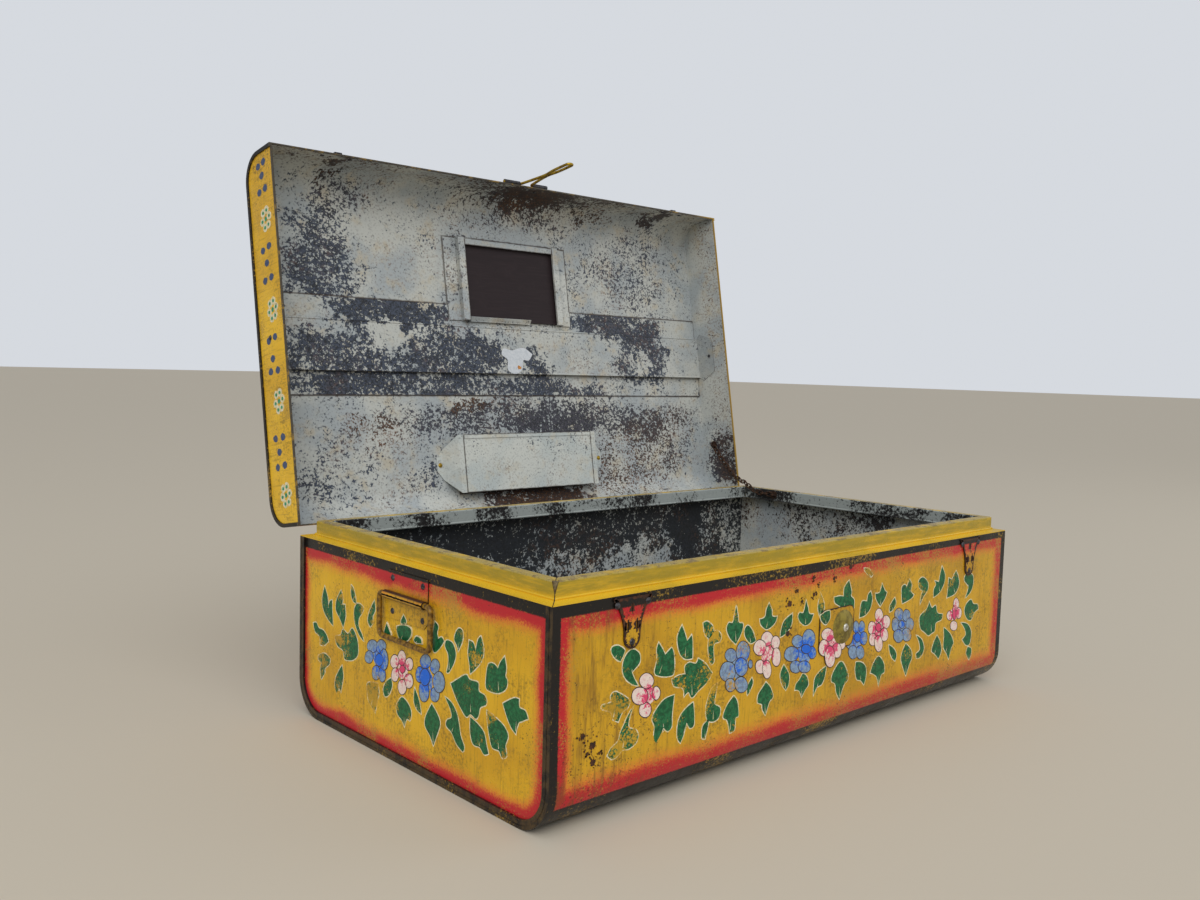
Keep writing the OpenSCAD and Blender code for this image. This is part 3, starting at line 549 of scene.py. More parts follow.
@dataclass(frozen=True)
class Interior:
    """Pale grey-green enamel that is worn through in black speckles and brown stains.

    The parts say how much each noise and the wear add to the loss of paint.
    """

    pale: Colour = tint(194, 196, 190)
    cool: Colour = tint(170, 177, 179)
    warm: Colour = tint(190, 181, 160)
    film: Colour = tint(112, 114, 112)
    wear: Colour = tint(30, 33, 42)
    slate: Colour = tint(66, 75, 92)
    brown: Colour = tint(46, 32, 28)
    rust: Colour = tint(124, 84, 50)
    tones: Cloud = Cloud(60, 3.0, 0.5, 0.4, 0.62)
    yellowing: Cloud = Cloud(24, 4.0, 0.65, 0.5, 0.7, 0.8)
    fine: Cloud = Cloud(2.5, 2.0, 0.6)
    speck: Cloud = Cloud(5.2, 3.0, 0.75)
    patch: Cloud = Cloud(34, 3.0, 0.6)
    rusting: Cloud = Cloud(5.0, 5.0, 0.8, 0.50, 0.62)
    rusted: Cloud = Cloud(46, low=0.5, high=0.66, most=0.4)
    fine_part: float = 0.34
    speck_part: float = 0.5
    patch_part: float = 0.22
    wear_part: float = 0.2

    def colour(self, tree: ShaderTree, at: Wire, worn: Any, brown: Any = 0.0) -> Wire:
        """Colour of the worn enamel.

        Args:
            tree: the material's tree.
            at: the place in millimetres.
            worn: 0 where the enamel is whole, about 1 where most of it is gone.
            brown: 0 where the wear is blue black, 1 where it is rust brown.

        Returns:
            The colour.
        """
        base = tree.mix(self.tones.mask(tree, at), self.pale, self.cool)
        base = tree.mix(self.yellowing.mask(tree, at), base, self.warm)
        fine = self.fine.noise(tree, at)
        loss = self.speck.noise(tree, at) * self.speck_part + fine * self.fine_part
        loss = loss + self.patch.noise(tree, at) * self.patch_part + worn * self.wear_part
        base = tree.mix(tree.smooth(fine, 0.5, 0.68, end=0.32), base, self.film)
        base = tree.mix(tree.smooth(loss, 0.56, 0.67, end=0.5), base, self.film)
        dark = tree.mix(brown, tree.mix(tree.smooth(fine, 0.42, 0.62), self.wear, self.slate), self.brown)
        base = tree.mix(tree.smooth(loss, 0.625, 0.655, end=0.96), base, dark)
        base = tree.mix(self.rusting.mask(tree, at) * self.rusted.mask(tree, at), base, self.rust)
        return tree.mix(tree.smooth(fine, 0.5, 0.62) * brown * 0.45, base, self.rust)


@dataclass(frozen=True)
class Sheet:
    """Enlarged part of the photograph on which shapes were drawn.

    Points on it are in the enlargement's own pixels.
    """

    left: float
    top: float
    scale: float

    def pixel(self, at: Point) -> Point:
        """Pixel of the whole photograph for a point of the sheet."""
        return self.left + at[0] / self.scale, self.top + at[1] / self.scale


END_SHEET = Sheet(285, 560, 6.031)
LEFT_SHEET = Sheet(545, 590, 10.116)
MIDDLE_SHEET = Sheet(660, 590, 7.84)
TALL_SHEET = Sheet(690, 560, 8.71)
RIGHT_SHEET = Sheet(840, 540, 7.84)
LOW_SHEET = Sheet(555, 655, 9.503)
LID_SHEET = Sheet(245, 130, 3.136)
MOUTH_SHEET = Sheet(340, 480, 2.529)

END_LEAVES: tuple[Outline, ...] = (
    ((240, 158), (258, 225), (262, 290), (270, 250), (285, 242), (286, 300), (290, 395), (255, 350),
     (230, 290), (226, 225)),
    ((338, 183), (350, 225), (345, 268), (362, 270), (366, 340), (352, 405), (330, 350), (308, 300),
     (312, 240)),
    ((400, 150), (415, 175), (425, 220), (430, 262), (412, 248), (400, 210)),
    ((440, 262), (470, 280), (470, 312), (447, 350), (445, 400), (465, 450), (475, 488), (450, 455),
     (428, 400), (418, 350), (420, 290)),
    ((172, 380), (190, 378), (205, 410), (230, 422), (252, 455), (262, 490), (235, 515), (212, 508),
     (208, 460), (182, 430)),
    ((350, 418), (380, 445), (405, 412), (425, 445), (440, 500), (440, 570), (415, 600), (385, 605),
     (360, 595), (350, 545), (322, 522), (306, 490), (305, 458), (335, 455)),
    ((205, 575), (240, 563), (272, 595), (268, 628), (245, 650), (240, 680), (220, 718), (214, 660),
     (222, 620), (203, 600)),
    ((345, 635), (352, 700), (346, 745), (338, 795), (325, 770), (312, 800), (302, 760), (306, 712),
     (325, 668)),
    ((540, 245), (545, 300), (530, 340), (530, 380), (515, 402), (500, 370), (505, 328), (520, 285)),
    ((905, 372), (925, 400), (918, 440), (925, 475), (945, 466), (960, 490), (935, 530), (908, 556),
     (893, 540), (892, 450)),
    ((1050, 412), (1072, 430), (1070, 490), (1045, 548), (1035, 510), (1022, 480), (1030, 438)),
    ((975, 485), (1010, 500), (1030, 560), (1020, 620), (990, 676), (975, 676), (985, 630), (985, 570),
     (966, 520)),
    ((1112, 485), (1137, 500), (1150, 548), (1165, 480), (1182, 460), (1198, 530), (1190, 600),
     (1150, 655), (1118, 685), (1112, 620), (1105, 560)),
    ((1325, 583), (1335, 650), (1330, 700), (1342, 730), (1332, 778), (1290, 802), (1240, 792),
     (1213, 768), (1215, 690), (1228, 628), (1260, 626), (1285, 655), (1300, 615)),
    ((1000, 745), (1040, 720), (1092, 692), (1115, 722), (1165, 740), (1170, 792), (1208, 820),
     (1215, 870), (1178, 890), (1168, 938), (1150, 957), (1120, 930), (1095, 946), (1070, 910),
     (1035, 840)),
    ((1315, 865), (1380, 833), (1412, 840), (1415, 890), (1450, 910), (1466, 957), (1430, 972),
     (1408, 985), (1392, 1048), (1365, 1010), (1340, 950)),
    ((500, 740), (560, 745), (567, 800), (555, 860), (545, 918), (520, 880), (505, 850), (498, 800)),
    ((640, 713), (647, 760), (625, 815), (602, 822), (593, 780), (610, 735)),
    ((710, 828), (745, 870), (762, 920), (755, 966), (735, 958), (720, 1003), (705, 965), (680, 930),
     (672, 880), (690, 843)),
    ((783, 772), (810, 850), (821, 927), (795, 900), (778, 850)),
    ((885, 868), (920, 930), (936, 990), (915, 1060), (895, 1118), (875, 1060), (845, 1000), (850, 940)),
    ((968, 828), (1005, 860), (1035, 920), (1050, 990), (1060, 1060), (1082, 1130), (1072, 1157),
     (1035, 1110), (1005, 1040), (973, 1000), (978, 965), (1005, 950), (998, 900)),
    ((1118, 948), (1160, 985), (1200, 1040), (1215, 1110), (1227, 1168), (1200, 1172), (1175, 1130),
     (1135, 1110), (1118, 1040)),
    ((1218, 908), (1270, 950), (1320, 1000), (1346, 1060), (1330, 1120), (1337, 1182), (1310, 1192),
     (1290, 1150), (1250, 1130), (1233, 1060), (1223, 990)),
)
PLATE_LEAVES: tuple[Outline, ...] = (
    ((620, 382), (642, 440), (642, 466), (612, 460), (606, 430)),
    ((722, 332), (738, 366), (730, 384), (708, 380), (708, 362)),
    ((682, 400), (720, 392), (762, 410), (767, 450), (742, 486), (705, 480), (685, 440)),
    ((800, 460), (826, 475), (830, 502), (795, 496), (785, 480)),
)
LEFT_LEAVES: tuple[Outline, ...] = (
    ((680, 580), (740, 563), (800, 600), (800, 640), (762, 722), (710, 690), (673, 630)),
    ((905, 603), (957, 650), (957, 730), (910, 795), (878, 830), (900, 890), (940, 965), (880, 952),
     (810, 890), (783, 800), (800, 700), (850, 620)),
    ((1150, 535), (1185, 590), (1215, 655), (1280, 583), (1302, 640), (1305, 830), (1250, 872),
     (1150, 867), (1108, 830), (1135, 700), (1130, 600)),
    ((1385, 360), (1412, 430), (1437, 515), (1482, 458), (1492, 520), (1490, 690), (1420, 697),
     (1363, 640), (1338, 500), (1360, 410)),
)
MIDDLE_LEAVES: tuple[Outline, ...] = (
    ((340, 260), (370, 247), (410, 280), (417, 330), (385, 377), (350, 340)),
    ((440, 318), (477, 350), (470, 400), (425, 420), (418, 480), (422, 562), (400, 582), (385, 540),
     (377, 440), (390, 370)),
    ((597, 125), (610, 200), (618, 255), (650, 265), (640, 330), (595, 423), (550, 380), (523, 310),
     (538, 258), (570, 255), (585, 190)),
    ((690, 278), (725, 320), (750, 397), (710, 417), (670, 370), (663, 310)),
    ((855, 105), (875, 150), (880, 205), (917, 208), (905, 250), (870, 290), (830, 307), (790, 270),
     (783, 230), (822, 212), (835, 150)),
    ((1037, 185), (1030, 270), (985, 340), (943, 368), (950, 310), (975, 240)),
    ((1145, 80), (1160, 140), (1170, 185), (1202, 190), (1180, 250), (1140, 277), (1100, 250),
     (1083, 210), (1095, 178), (1125, 175)),
    ((1258, 25), (1282, 90), (1285, 150), (1250, 205), (1238, 130)),
    ((1325, 160), (1327, 220), (1295, 268), (1260, 240), (1253, 200), (1290, 170)),
    ((195, 600), (230, 568), (280, 577), (300, 538), (350, 570), (387, 620), (408, 650), (370, 720),
     (300, 790), (250, 843), (222, 800), (190, 833), (178, 770), (110, 752), (93, 700), (150, 668),
     (200, 660)),
    ((720, 688), (727, 730), (700, 800), (685, 822), (683, 760)),
    ((970, 587), (1010, 660), (1007, 740), (985, 783), (955, 740), (943, 660)),
    ((1120, 657), (1150, 680), (1162, 740), (1135, 785), (1110, 838), (1090, 790), (1058, 782),
     (1065, 740), (1095, 700)),
    ((1302, 597), (1290, 680), (1265, 740), (1230, 760), (1203, 823), (1205, 760), (1215, 690),
     (1250, 640)),
    ((1420, 560), (1467, 640), (1472, 700), (1440, 745), (1405, 853), (1380, 800), (1372, 735),
     (1343, 712), (1360, 640)),
)
TALL_LEAVES: tuple[Outline, ...] = (
    ((237, 1075), (225, 1150), (213, 1230), (220, 1262), (262, 1290), (250, 1370), (200, 1407),
     (150, 1390), (138, 1310), (155, 1210), (190, 1120)),
    ((150, 1400), (158, 1430), (130, 1555), (103, 1545), (110, 1450)),
    ((380, 1185), (410, 1230), (422, 1350), (395, 1378), (385, 1480), (345, 1503), (325, 1400),
     (288, 1370), (310, 1290), (345, 1230)),
    ((660, 1065), (700, 1110), (722, 1190), (690, 1236), (655, 1350), (630, 1300), (625, 1256),
     (588, 1240), (595, 1170), (625, 1120)),
)
RIGHT_LEAVES: tuple[Outline, ...] = (
    ((72, 318), (90, 400), (87, 440), (110, 470), (105, 545), (80, 582), (30, 545), (0, 520), (-40, 490),
     (-45, 450), (0, 440), (30, 442), (35, 370)),
    ((190, 223), (225, 225), (257, 272), (240, 287), (200, 250)),
    ((240, 403), (252, 460), (235, 540), (195, 590), (153, 607), (160, 530), (175, 480), (212, 482),
     (220, 430)),
    ((330, 343), (350, 392), (367, 410), (350, 460), (315, 517), (285, 470), (278, 420), (312, 410)),
    ((430, 452), (437, 500), (410, 550), (388, 562), (390, 520), (410, 480)),
    ((545, 307), (562, 350), (555, 400), (577, 430), (555, 460), (488, 497), (483, 440), (485, 370),
     (510, 350), (522, 370)),
    ((650, 292), (687, 330), (687, 390), (655, 440), (628, 503), (635, 440), (650, 400), (620, 370),
     (618, 320)),
    ((800, 207), (822, 270), (815, 340), (780, 410), (733, 447), (735, 390), (752, 350), (743, 318),
     (775, 330), (785, 270)),
    ((910, 242), (927, 290), (932, 350), (900, 420), (838, 452), (845, 390), (853, 298), (880, 312),
     (890, 280)),
    ((1010, 257), (1042, 280), (1042, 350), (1020, 410), (983, 452), (1000, 400), (1005, 360),
     (976, 320), (980, 280)),
    ((1025, 147), (1042, 190), (1030, 222), (1008, 205), (1010, 175)),
    ((1025, 467), (1045, 500), (1077, 505), (1082, 540), (1050, 570), (1030, 622), (1000, 622),
     (976, 570), (985, 510)),
    ((700, 487), (720, 532), (750, 513), (762, 570), (803, 580), (795, 622), (750, 650), (742, 710),
     (715, 732), (690, 747), (660, 720), (630, 690), (623, 610), (650, 570), (680, 540)),
    ((125, 957), (170, 960), (202, 1000), (200, 1080), (185, 1133), (160, 1100), (130, 1090), (118, 1020)),
    ((300, 912), (340, 960), (347, 1030), (320, 1060), (300, 1143), (285, 1070), (238, 1040), (260, 970)),
    ((383, 823), (420, 850), (442, 900), (430, 947), (405, 920), (388, 870)),
    ((515, 812), (555, 860), (562, 920), (540, 980), (515, 1063), (490, 990), (478, 930), (490, 870)),
    ((598, 748), (640, 780), (657, 850), (635, 910), (600, 927), (596, 890), (625, 860), (620, 800)),
    ((760, 747), (785, 800), (792, 870), (770, 930), (740, 890), (718, 870), (735, 800)),
    ((813, 687), (860, 730), (887, 800), (870, 850), (850, 933), (830, 880), (810, 840), (815, 760)),
    ((948, 647), (1000, 660), (1027, 720), (1015, 810), (985, 822), (958, 780), (985, 740), (975, 690)),
    ((1000, 838), (1027, 850), (1025, 900), (1010, 937), (988, 890)),
)
LOW_LEAVES: tuple[Outline, ...] = (
    ((570, 350), (640, 380), (705, 430), (690, 500), (640, 540), (600, 632), (550, 610), (530, 540),
     (448, 512), (448, 478), (540, 450), (530, 390)),
    ((742, 495), (705, 600), (700, 690), (760, 708), (788, 760), (770, 830), (700, 890), (640, 900),
     (590, 960), (540, 988), (498, 960), (530, 890), (600, 820), (620, 740), (660, 650), (700, 560)),
    ((1132, 380), (1120, 480), (1110, 580), (1107, 680), (1070, 723), (1030, 690), (1000, 760),
     (960, 835), (938, 790), (945, 680), (923, 610), (960, 520), (1040, 420)),
    ((1312, 450), (1322, 560), (1317, 670), (1280, 692), (1250, 640), (1220, 760), (1190, 835),
     (1163, 790), (1163, 680), (1190, 580), (1250, 500)),
)
# Numbers of the leaves that are worn more than the others
END_WORN = (2, 4, 6, 7, 16, 23)
FRONT_LEAVES = (
    (LEFT_SHEET, LEFT_LEAVES, ()), (MIDDLE_SHEET, MIDDLE_LEAVES, (1, 9)), (TALL_SHEET, TALL_LEAVES, (0,)),
    (RIGHT_SHEET, RIGHT_LEAVES, (1,)), (LOW_SHEET, LOW_LEAVES, (0, 1)))


class Bloom(Enum):
    """Colours of the painted flowers."""

    BLUE = "blue petals"
    PINK = "white petals with pink hearts"


@dataclass(frozen=True)
class Flower:
    """Painted flower: its heart and its petals on a sheet.

    A petal is the middle, the half width and the half height of an oval.
    """

    sheet: Sheet
    bloom: Bloom
    heart: Point
    petals: tuple[tuple[float, float, float, float], ...]
    faded: bool = False


END_FLOWERS: tuple[Flower, ...] = (
    Flower(END_SHEET, Bloom.BLUE, (568, 605), (
        (528, 520, 30, 38), (580, 522, 28, 40), (508, 585, 25, 36), (550, 680, 24, 42),
        (588, 690, 20, 44), (598, 600, 24, 62), (570, 602, 22, 36))),
    Flower(END_SHEET, Bloom.PINK, (710, 660), (
        (705, 590, 22, 44), (662, 612, 24, 40), (665, 692, 22, 40), (750, 628, 24, 36),
        (748, 730, 26, 42), (708, 766, 24, 44), (710, 658, 14, 22))),
    Flower(END_SHEET, Bloom.BLUE, (850, 712), (
        (848, 612, 30, 42), (905, 642, 26, 44), (812, 690, 22, 46), (905, 812, 28, 42),
        (840, 792, 30, 62), (930, 736, 34, 62), (846, 706, 28, 50))),
)
FRONT_FLOWERS: tuple[Flower, ...] = (
    Flower(LOW_SHEET, Bloom.PINK, (890, 390), (
        (870, 245, 62, 72), (960, 362, 36, 62), (855, 520, 57, 70), (805, 390, 80, 80))),
    Flower(MIDDLE_SHEET, Bloom.BLUE, (625, 590), (
        (555, 512, 42, 52), (650, 482, 50, 80), (530, 640, 62, 76), (708, 580, 15, 30),
        (550, 745, 38, 50), (635, 742, 48, 60), (634, 602, 46, 70)), faded=True),
    Flower(MIDDLE_SHEET, Bloom.PINK, (838, 500), (
        (840, 382, 42, 55), (782, 452, 46, 60), (905, 412, 33, 50), (910, 525, 34, 70),
        (785, 602, 38, 52), (836, 622, 32, 70))),
    Flower(MIDDLE_SHEET, Bloom.BLUE, (1140, 480), (
        (1080, 402, 42, 48), (1165, 385, 48, 76), (1030, 502, 57, 56), (1062, 602, 45, 46),
        (1130, 602, 48, 44), (1190, 490, 30, 46), (1144, 462, 34, 34))),
    Flower(MIDDLE_SHEET, Bloom.PINK, (1335, 430), (
        (1310, 350, 45, 50), (1418, 430, 26, 32), (1280, 452, 40, 62), (1380, 472, 36, 56),
        (1325, 520, 40, 82))),
    Flower(RIGHT_SHEET, Bloom.BLUE, (140, 770), (
        (125, 682, 22, 46), (170, 682, 22, 46), (184, 770, 28, 50), (76, 800, 30, 50),
        (100, 880, 36, 50), (156, 880, 30, 50), (134, 764, 22, 34))),
    Flower(RIGHT_SHEET, Bloom.PINK, (300, 690), (
        (305, 590, 28, 52), (360, 642, 30, 50), (250, 690, 30, 50), (256, 780, 30, 46),
        (345, 742, 30, 50), (300, 812, 30, 62), (300, 684, 20, 30))),
    Flower(RIGHT_SHEET, Bloom.BLUE, (482, 662), (
        (462, 582, 32, 46), (520, 592, 28, 46), (546, 662, 30, 50), (432, 662, 26, 52),
        (520, 742, 36, 50), (456, 752, 36, 50), (482, 662, 20, 28)), faded=True),
    Flower(RIGHT_SHEET, Bloom.PINK, (896, 575), (
        (910, 502, 20, 46), (860, 592, 22, 36), (930, 572, 22, 42), (890, 672, 28, 36),
        (894, 570, 12, 52))),
)
# Rust blots on the front: middles and radii on their sheets
TALL_BLOTS: tuple[Point3, ...] = (
    (865, 380, 28), (975, 360, 16), (852, 640, 28), (1080, 300, 20), (1255, 160, 18), (1075, 155, 17),
    (1400, 60, 26), (1120, 215, 11), (930, 265, 13))
LOW_BLOTS: tuple[Point3, ...] = (
    (260, 780, 26), (350, 860, 38), (360, 1020, 30), (300, 940, 16), (420, 930, 14))
# Chip of white filler on the stiffener, and the middle of the orange stain on it
WHITE_CHIP: Outline = (
    (812, 686), (838, 692), (872, 684), (900, 704), (890, 722), (872, 722), (868, 752), (848, 764),
    (826, 752), (824, 720), (806, 704))
CHIP_STAIN: Point = (861, 745)
# Dots between the flowers on the lid's end, in pixels of the whole photograph
LID_DOTS: Outline = (
    (263, 161.5), (258, 167), (261.6, 175.6), (265, 188), (259.4, 193), (269, 245.6), (263, 251),
    (267, 263), (271.5, 276.7), (265.4, 281), (275, 336.6), (269, 341), (273, 358.5), (278, 370),
    (271, 372), (283, 437), (275.6, 439), (279.5, 452), (285, 465), (278, 467.6))
# Middles of the lid end's flowers: places across the lid and heights, lid closed
LID_BLOSSOMS: tuple[Point, ...] = ((-128, 211), (-29, 211), (70, 212), (171, 212))


@dataclass(frozen=True)
class Wall:
    """Flat painted face: a corner point, its two directions and its outward direction, in metres."""

    start: Vector
    along: Vector
    upward: Vector
    outward: Vector
    lid: bool = False

    def at(self, point: Point, height: float) -> Vector:
        """Place in metres of a point of the wall, lifted off it by a height, both in millimetres."""
        return self.start + (self.along * point[0] + self.upward * point[1] + self.outward * height) * MM

    def local(self, spot: Vector) -> Point3:
        """Point of the wall and height over it, in millimetres, for a place in metres."""
        away = (spot - self.start) / MM
        return away.dot(self.along), away.dot(self.upward), away.dot(self.outward)

    def seen(self, pixel: Point) -> Point:
        """Point of the wall that the camera sees.

        Args:
            pixel: the pixel of the photograph.

        Returns:
            The point in millimetres.
        """
        eye, ray = STUDIO.ray(pixel)
        reach = (self.start - eye).dot(self.outward) / ray.dot(self.outward)
        return self.local(eye + ray * reach)[:2]

    def drawn(self, sheet: Sheet, outline: Outline) -> list[Point]:
        """Outline on the wall, in millimetres, of what is drawn on a sheet."""
        return [self.seen(sheet.pixel(point)) for point in outline]

    def right_handed(self) -> bool:
        """Whether a turn from along to upward is anticlockwise when seen from outside."""
        return self.along.cross(self.upward).dot(self.outward) > 0

    def closed(self, point: Sequence[float]) -> Point3:
        """Place of one of its points on the base or the closed lid, both in millimetres."""
        spot = self.at((point[0], point[1]), 0.0) / MM
        return TRUNK.closed(spot) if self.lid else tuple(spot)

    def shares(self, middle: Sequence[float], half: Sequence[float]) -> Point3:
        """Factors that turn an oval on the wall into a circle of radius 1.

        Args:
            middle: the oval's middle.
            half: its half sizes.

        Returns:
            A factor for each axis of the base or the closed lid, 0 across the wall.
        """
        centre = self.closed(middle)
        first = self.closed((middle[0] + half[0], middle[1]))
        second = self.closed((middle[0], middle[1] + half[1]))
        return tuple(abs(a - c) / half[0] ** 2 + abs(b - c) / half[1] ** 2
                     for a, b, c in zip(first, second, centre))


RIGHT, BACK, UP = Vector((1, 0, 0)), Vector((0, 1, 0)), Vector((0, 0, 1))


def long_wall(y: float, way: int) -> Wall:
    """Upright wall along the trunk at a place across it; the way is 1 if it looks backwards, else -1."""
    return Wall(BACK * y * MM, RIGHT * -way, UP, BACK * way)


def end_wall(x: float, lid: bool) -> Wall:
    """Upright wall across the trunk, seen from the left.

    Args:
        x: its place along the trunk, in millimetres.
        lid: whether it is the lid's.

    Returns:
        The wall.
    """
    if not lid:
        return Wall(RIGHT * x * MM, BACK, UP, -RIGHT)
    start = TRUNK.opened(x, 0, 0)
    return Wall(start, (TRUNK.opened(x, 1000, 0) - start).normalized(),
                (TRUNK.opened(x, 0, 1000) - start).normalized(), -RIGHT, lid=True)


def lid_wall(z: float) -> Wall:
    """Face of the open lid at a height of the closed lid in millimetres, seen from inside."""
    start = TRUNK.opened(0, 0, z)
    return Wall(start, RIGHT, (TRUNK.opened(0, 1, z) - start).normalized(),
                (start - TRUNK.opened(0, 0, z + 1)).normalized(), lid=True)


FRONT = long_wall(-TRUNK.half_d, -1)
LEFT_END = end_wall(-TRUNK.base_end, False)
RIGHT_END = Wall(-LEFT_END.start, -LEFT_END.along, LEFT_END.upward, -LEFT_END.outward)


@dataclass(frozen=True)
class WearMap:
    """Where a wall is worn, drawn as ovals on an enlargement of the photograph.

    An oval is its left, top, right and bottom in the enlargement's pixels, its wear, which is below 0 for a
    clean place, and how brown it is. The base is the wear elsewhere. A noise stirs the edges of the ovals.
    """

    sheet: Sheet
    wall: Wall
    base: float
    ovals: tuple[tuple[float, float, float, float, float, float], ...]
    stir_size: float = 22.0
    stir_reach: float = 90.0

    def wires(self, tree: ShaderTree, at: Wire) -> tuple[Any, Any]:
        """Wear and brownness at a place.

        Args:
            tree: the material's tree.
            at: the place in millimetres, lid closed.

        Returns:
            The wear and the brownness.
        """
        stir = tree.add("ShaderNodeTexNoise", None, {
            "Vector": at, "Scale": 1 / self.stir_size, "Detail": 4.0, "Roughness": 0.7}, "Color")
        stir = tree.vector("SUBTRACT", stir, (0.5, 0.5, 0.5))
        spot = tree.vector("ADD", at, tree.vector("MULTIPLY", stir, (self.stir_reach,) * 3))
        worn: Any = self.base
        brown: Any = 0.0
        for left, top, right, bottom, wear, rusty in self.ovals:
            corners = self.wall.drawn(
                self.sheet, ((left, top), (right, top), (right, bottom), (left, bottom)))
            half = [(max(c[i] for c in corners) - min(c[i] for c in corners)) / 2 for i in (0, 1)]
            middle = [sum(c[i] for c in corners) / 4 for i in (0, 1)]
            away = tree.vector("SUBTRACT", spot, self.wall.closed(middle))
            ring = tree.vector("MULTIPLY", away, self.wall.shares(middle, half))
            length = tree.add("ShaderNodeVectorMath", {"operation": "LENGTH"}, {0: ring}, "Value")
            near = tree.smooth(length, 1.3, 0.6)
            worn = near * wear + worn
            if rusty:
                brown = (near * rusty).high(brown)
        return worn, brown


@dataclass(frozen=True)
class Wear:
    """Wear maps of the inside, drawn on enlargements of the photograph."""

    lid: WearMap = WearMap(LID_SHEET, lid_wall(TRUNK.lid_inner), 0.13, (
        (198, 138, 262, 172, 0.45, 0.9), (190, 160, 390, 260, 0.36, 0.2), (100, 240, 320, 340, 0.26, 0.0),
        (90, 335, 365, 545, 0.62, 0.0), (370, 190, 640, 520, -0.12, 0.0), (500, 300, 600, 380, 0.22, 0.0),
        (630, 150, 1020, 300, 0.34, 0.5), (730, 150, 970, 240, 0.5, 1.0), (600, 328, 745, 362, 0.25, 0.3),
        (1000, 240, 1130, 300, 0.25, 0.8), (1205, 280, 1270, 315, 0.8, 0.6),
        (1080, 330, 1340, 580, 0.24, 0.1), (980, 340, 1070, 540, 0.14, 0.1),
        (440, 845, 1360, 960, 0.44, 0.25), (620, 840, 790, 885, 0.25, 1.0),
        (820, 870, 1110, 965, 0.30, 0.1), (320, 890, 520, 1000, 0.18, 0.9),
        (150, 930, 430, 1160, 0.16, 0.0), (150, 1075, 290, 1155, 0.24, 0.0),
        (355, 1105, 445, 1165, 0.24, 0.0), (510, 1030, 630, 1160, 0.32, 0.0),
        (1090, 930, 1345, 1140, 0.30, 0.8), (1180, 870, 1420, 1000, 0.22, 0.6),
        (1320, 990, 1400, 1065, 0.34, 0.3), (740, 1120, 1080, 1185, 0.85, 1.0),
        (1070, 1085, 1200, 1155, 0.16, 1.0)))
    lid_end: WearMap = WearMap(LID_SHEET, end_wall(TRUNK.lid_end_inner, True), -0.06, (
        (1435, 950, 1580, 1075, 0.62, 0.5), (1450, 1055, 1560, 1100, 0.5, 0.1),
        (1440, 880, 1480, 960, 0.3, 0.2)))
    stiffener: WearMap = WearMap(LID_SHEET, lid_wall(TRUNK.stiffener), 0.24, (
        (80, 630, 560, 785, 0.52, 0.0), (370, 600, 530, 690, -0.50, 0.0), (530, 630, 800, 790, 0.46, 0.0),
        (690, 640, 860, 730, 0.22, 0.0), (870, 690, 960, 775, 0.60, 0.0), (950, 620, 1170, 790, -0.18, 0.0),
        (1165, 640, 1330, 800, 0.50, 0.0), (1195, 700, 1270, 765, -0.35, 0.0),
        (1335, 620, 1440, 810, -0.24, 0.0), (250, 525, 680, 610, 0.66, 0.0),
        (90, 530, 262, 590, -0.24, 0.0), (1010, 575, 1310, 650, 0.62, 0.0),
        (1310, 590, 1430, 650, -0.24, 0.0), (60, 775, 1160, 848, 0.56, 0.0),
        (1110, 790, 1440, 850, -0.04, 0.0)))
    frame: WearMap = WearMap(LID_SHEET, lid_wall(TRUNK.frame_face), 0.02, (
        (560, 330, 720, 620, 0.12, 0.2), (700, 600, 920, 640, 0.2, 0.0)))
    pocket: WearMap = WearMap(LID_SHEET, lid_wall(TRUNK.pocket_face), -0.10, (
        (890, 960, 1090, 1015, 0.30, 0.0), (700, 990, 760, 1060, 0.2, 0.0)))
    rear: WearMap = WearMap(MOUTH_SHEET, long_wall(TRUNK.rear_inner, -1), 0.86, (
        (845, 40, 908, 210, 0.4, 0.0), (905, 40, 1030, 200, -0.26, 0.0), (640, 165, 870, 225, -0.50, 0.0),
        (500, 200, 640, 250, -0.40, 0.0), (130, 90, 500, 210, 0.08, 0.0), (922, 145, 962, 195, 0.5, 0.0)))
    base_end: WearMap = WearMap(MOUTH_SHEET, end_wall(TRUNK.base_end_inner, False), 0.04, (
        (1090, 75, 1420, 160, 0.42, 0.3), (1280, 85, 1440, 125, 0.24, 0.3),
        (1010, 40, 1060, 120, 0.3, 0.9)))


WEAR = Wear()
POCKET = ("pocket_front",)
FRAME = ("mirror_frame_left", "mirror_frame_right", "mirror_frame_top")
STIFFENER = ("lid_stiffener",)


def outlines(tree: ShaderTree, at: Wire, width: float, *names: str) -> Wire:
    """Lines of painted shade and dirt along the outlines of fittings inside the lid.

    Args:
        tree: the material's tree.
        at: the place in millimetres, lid closed.
        width: width of a line.
        names: nodes of the fittings.

    Returns:
        The share of painted shade and dirt.
    """
    x, y, _ = tree.axes(at)
    wall = lid_wall(TRUNK.lid_top)
    share: Any = 0.0
    for name in names:
        spots = [wall.local(vertex.co) for vertex in frame["nodes"][name].data.vertices]
        beyond = []
        for value, places in zip((x, y), zip(*spots)):
            middle, half = (min(places) + max(places)) / 2, (max(places) - min(places)) / 2
            beyond.append((value - middle).size() - half)
        away = beyond[0].high(beyond[1]).size() + Cloud(7, 3.0).noise(tree, at) * (width * 0.65)
        share = tree.smooth(away, width, width * 0.42).high(share)
    return share


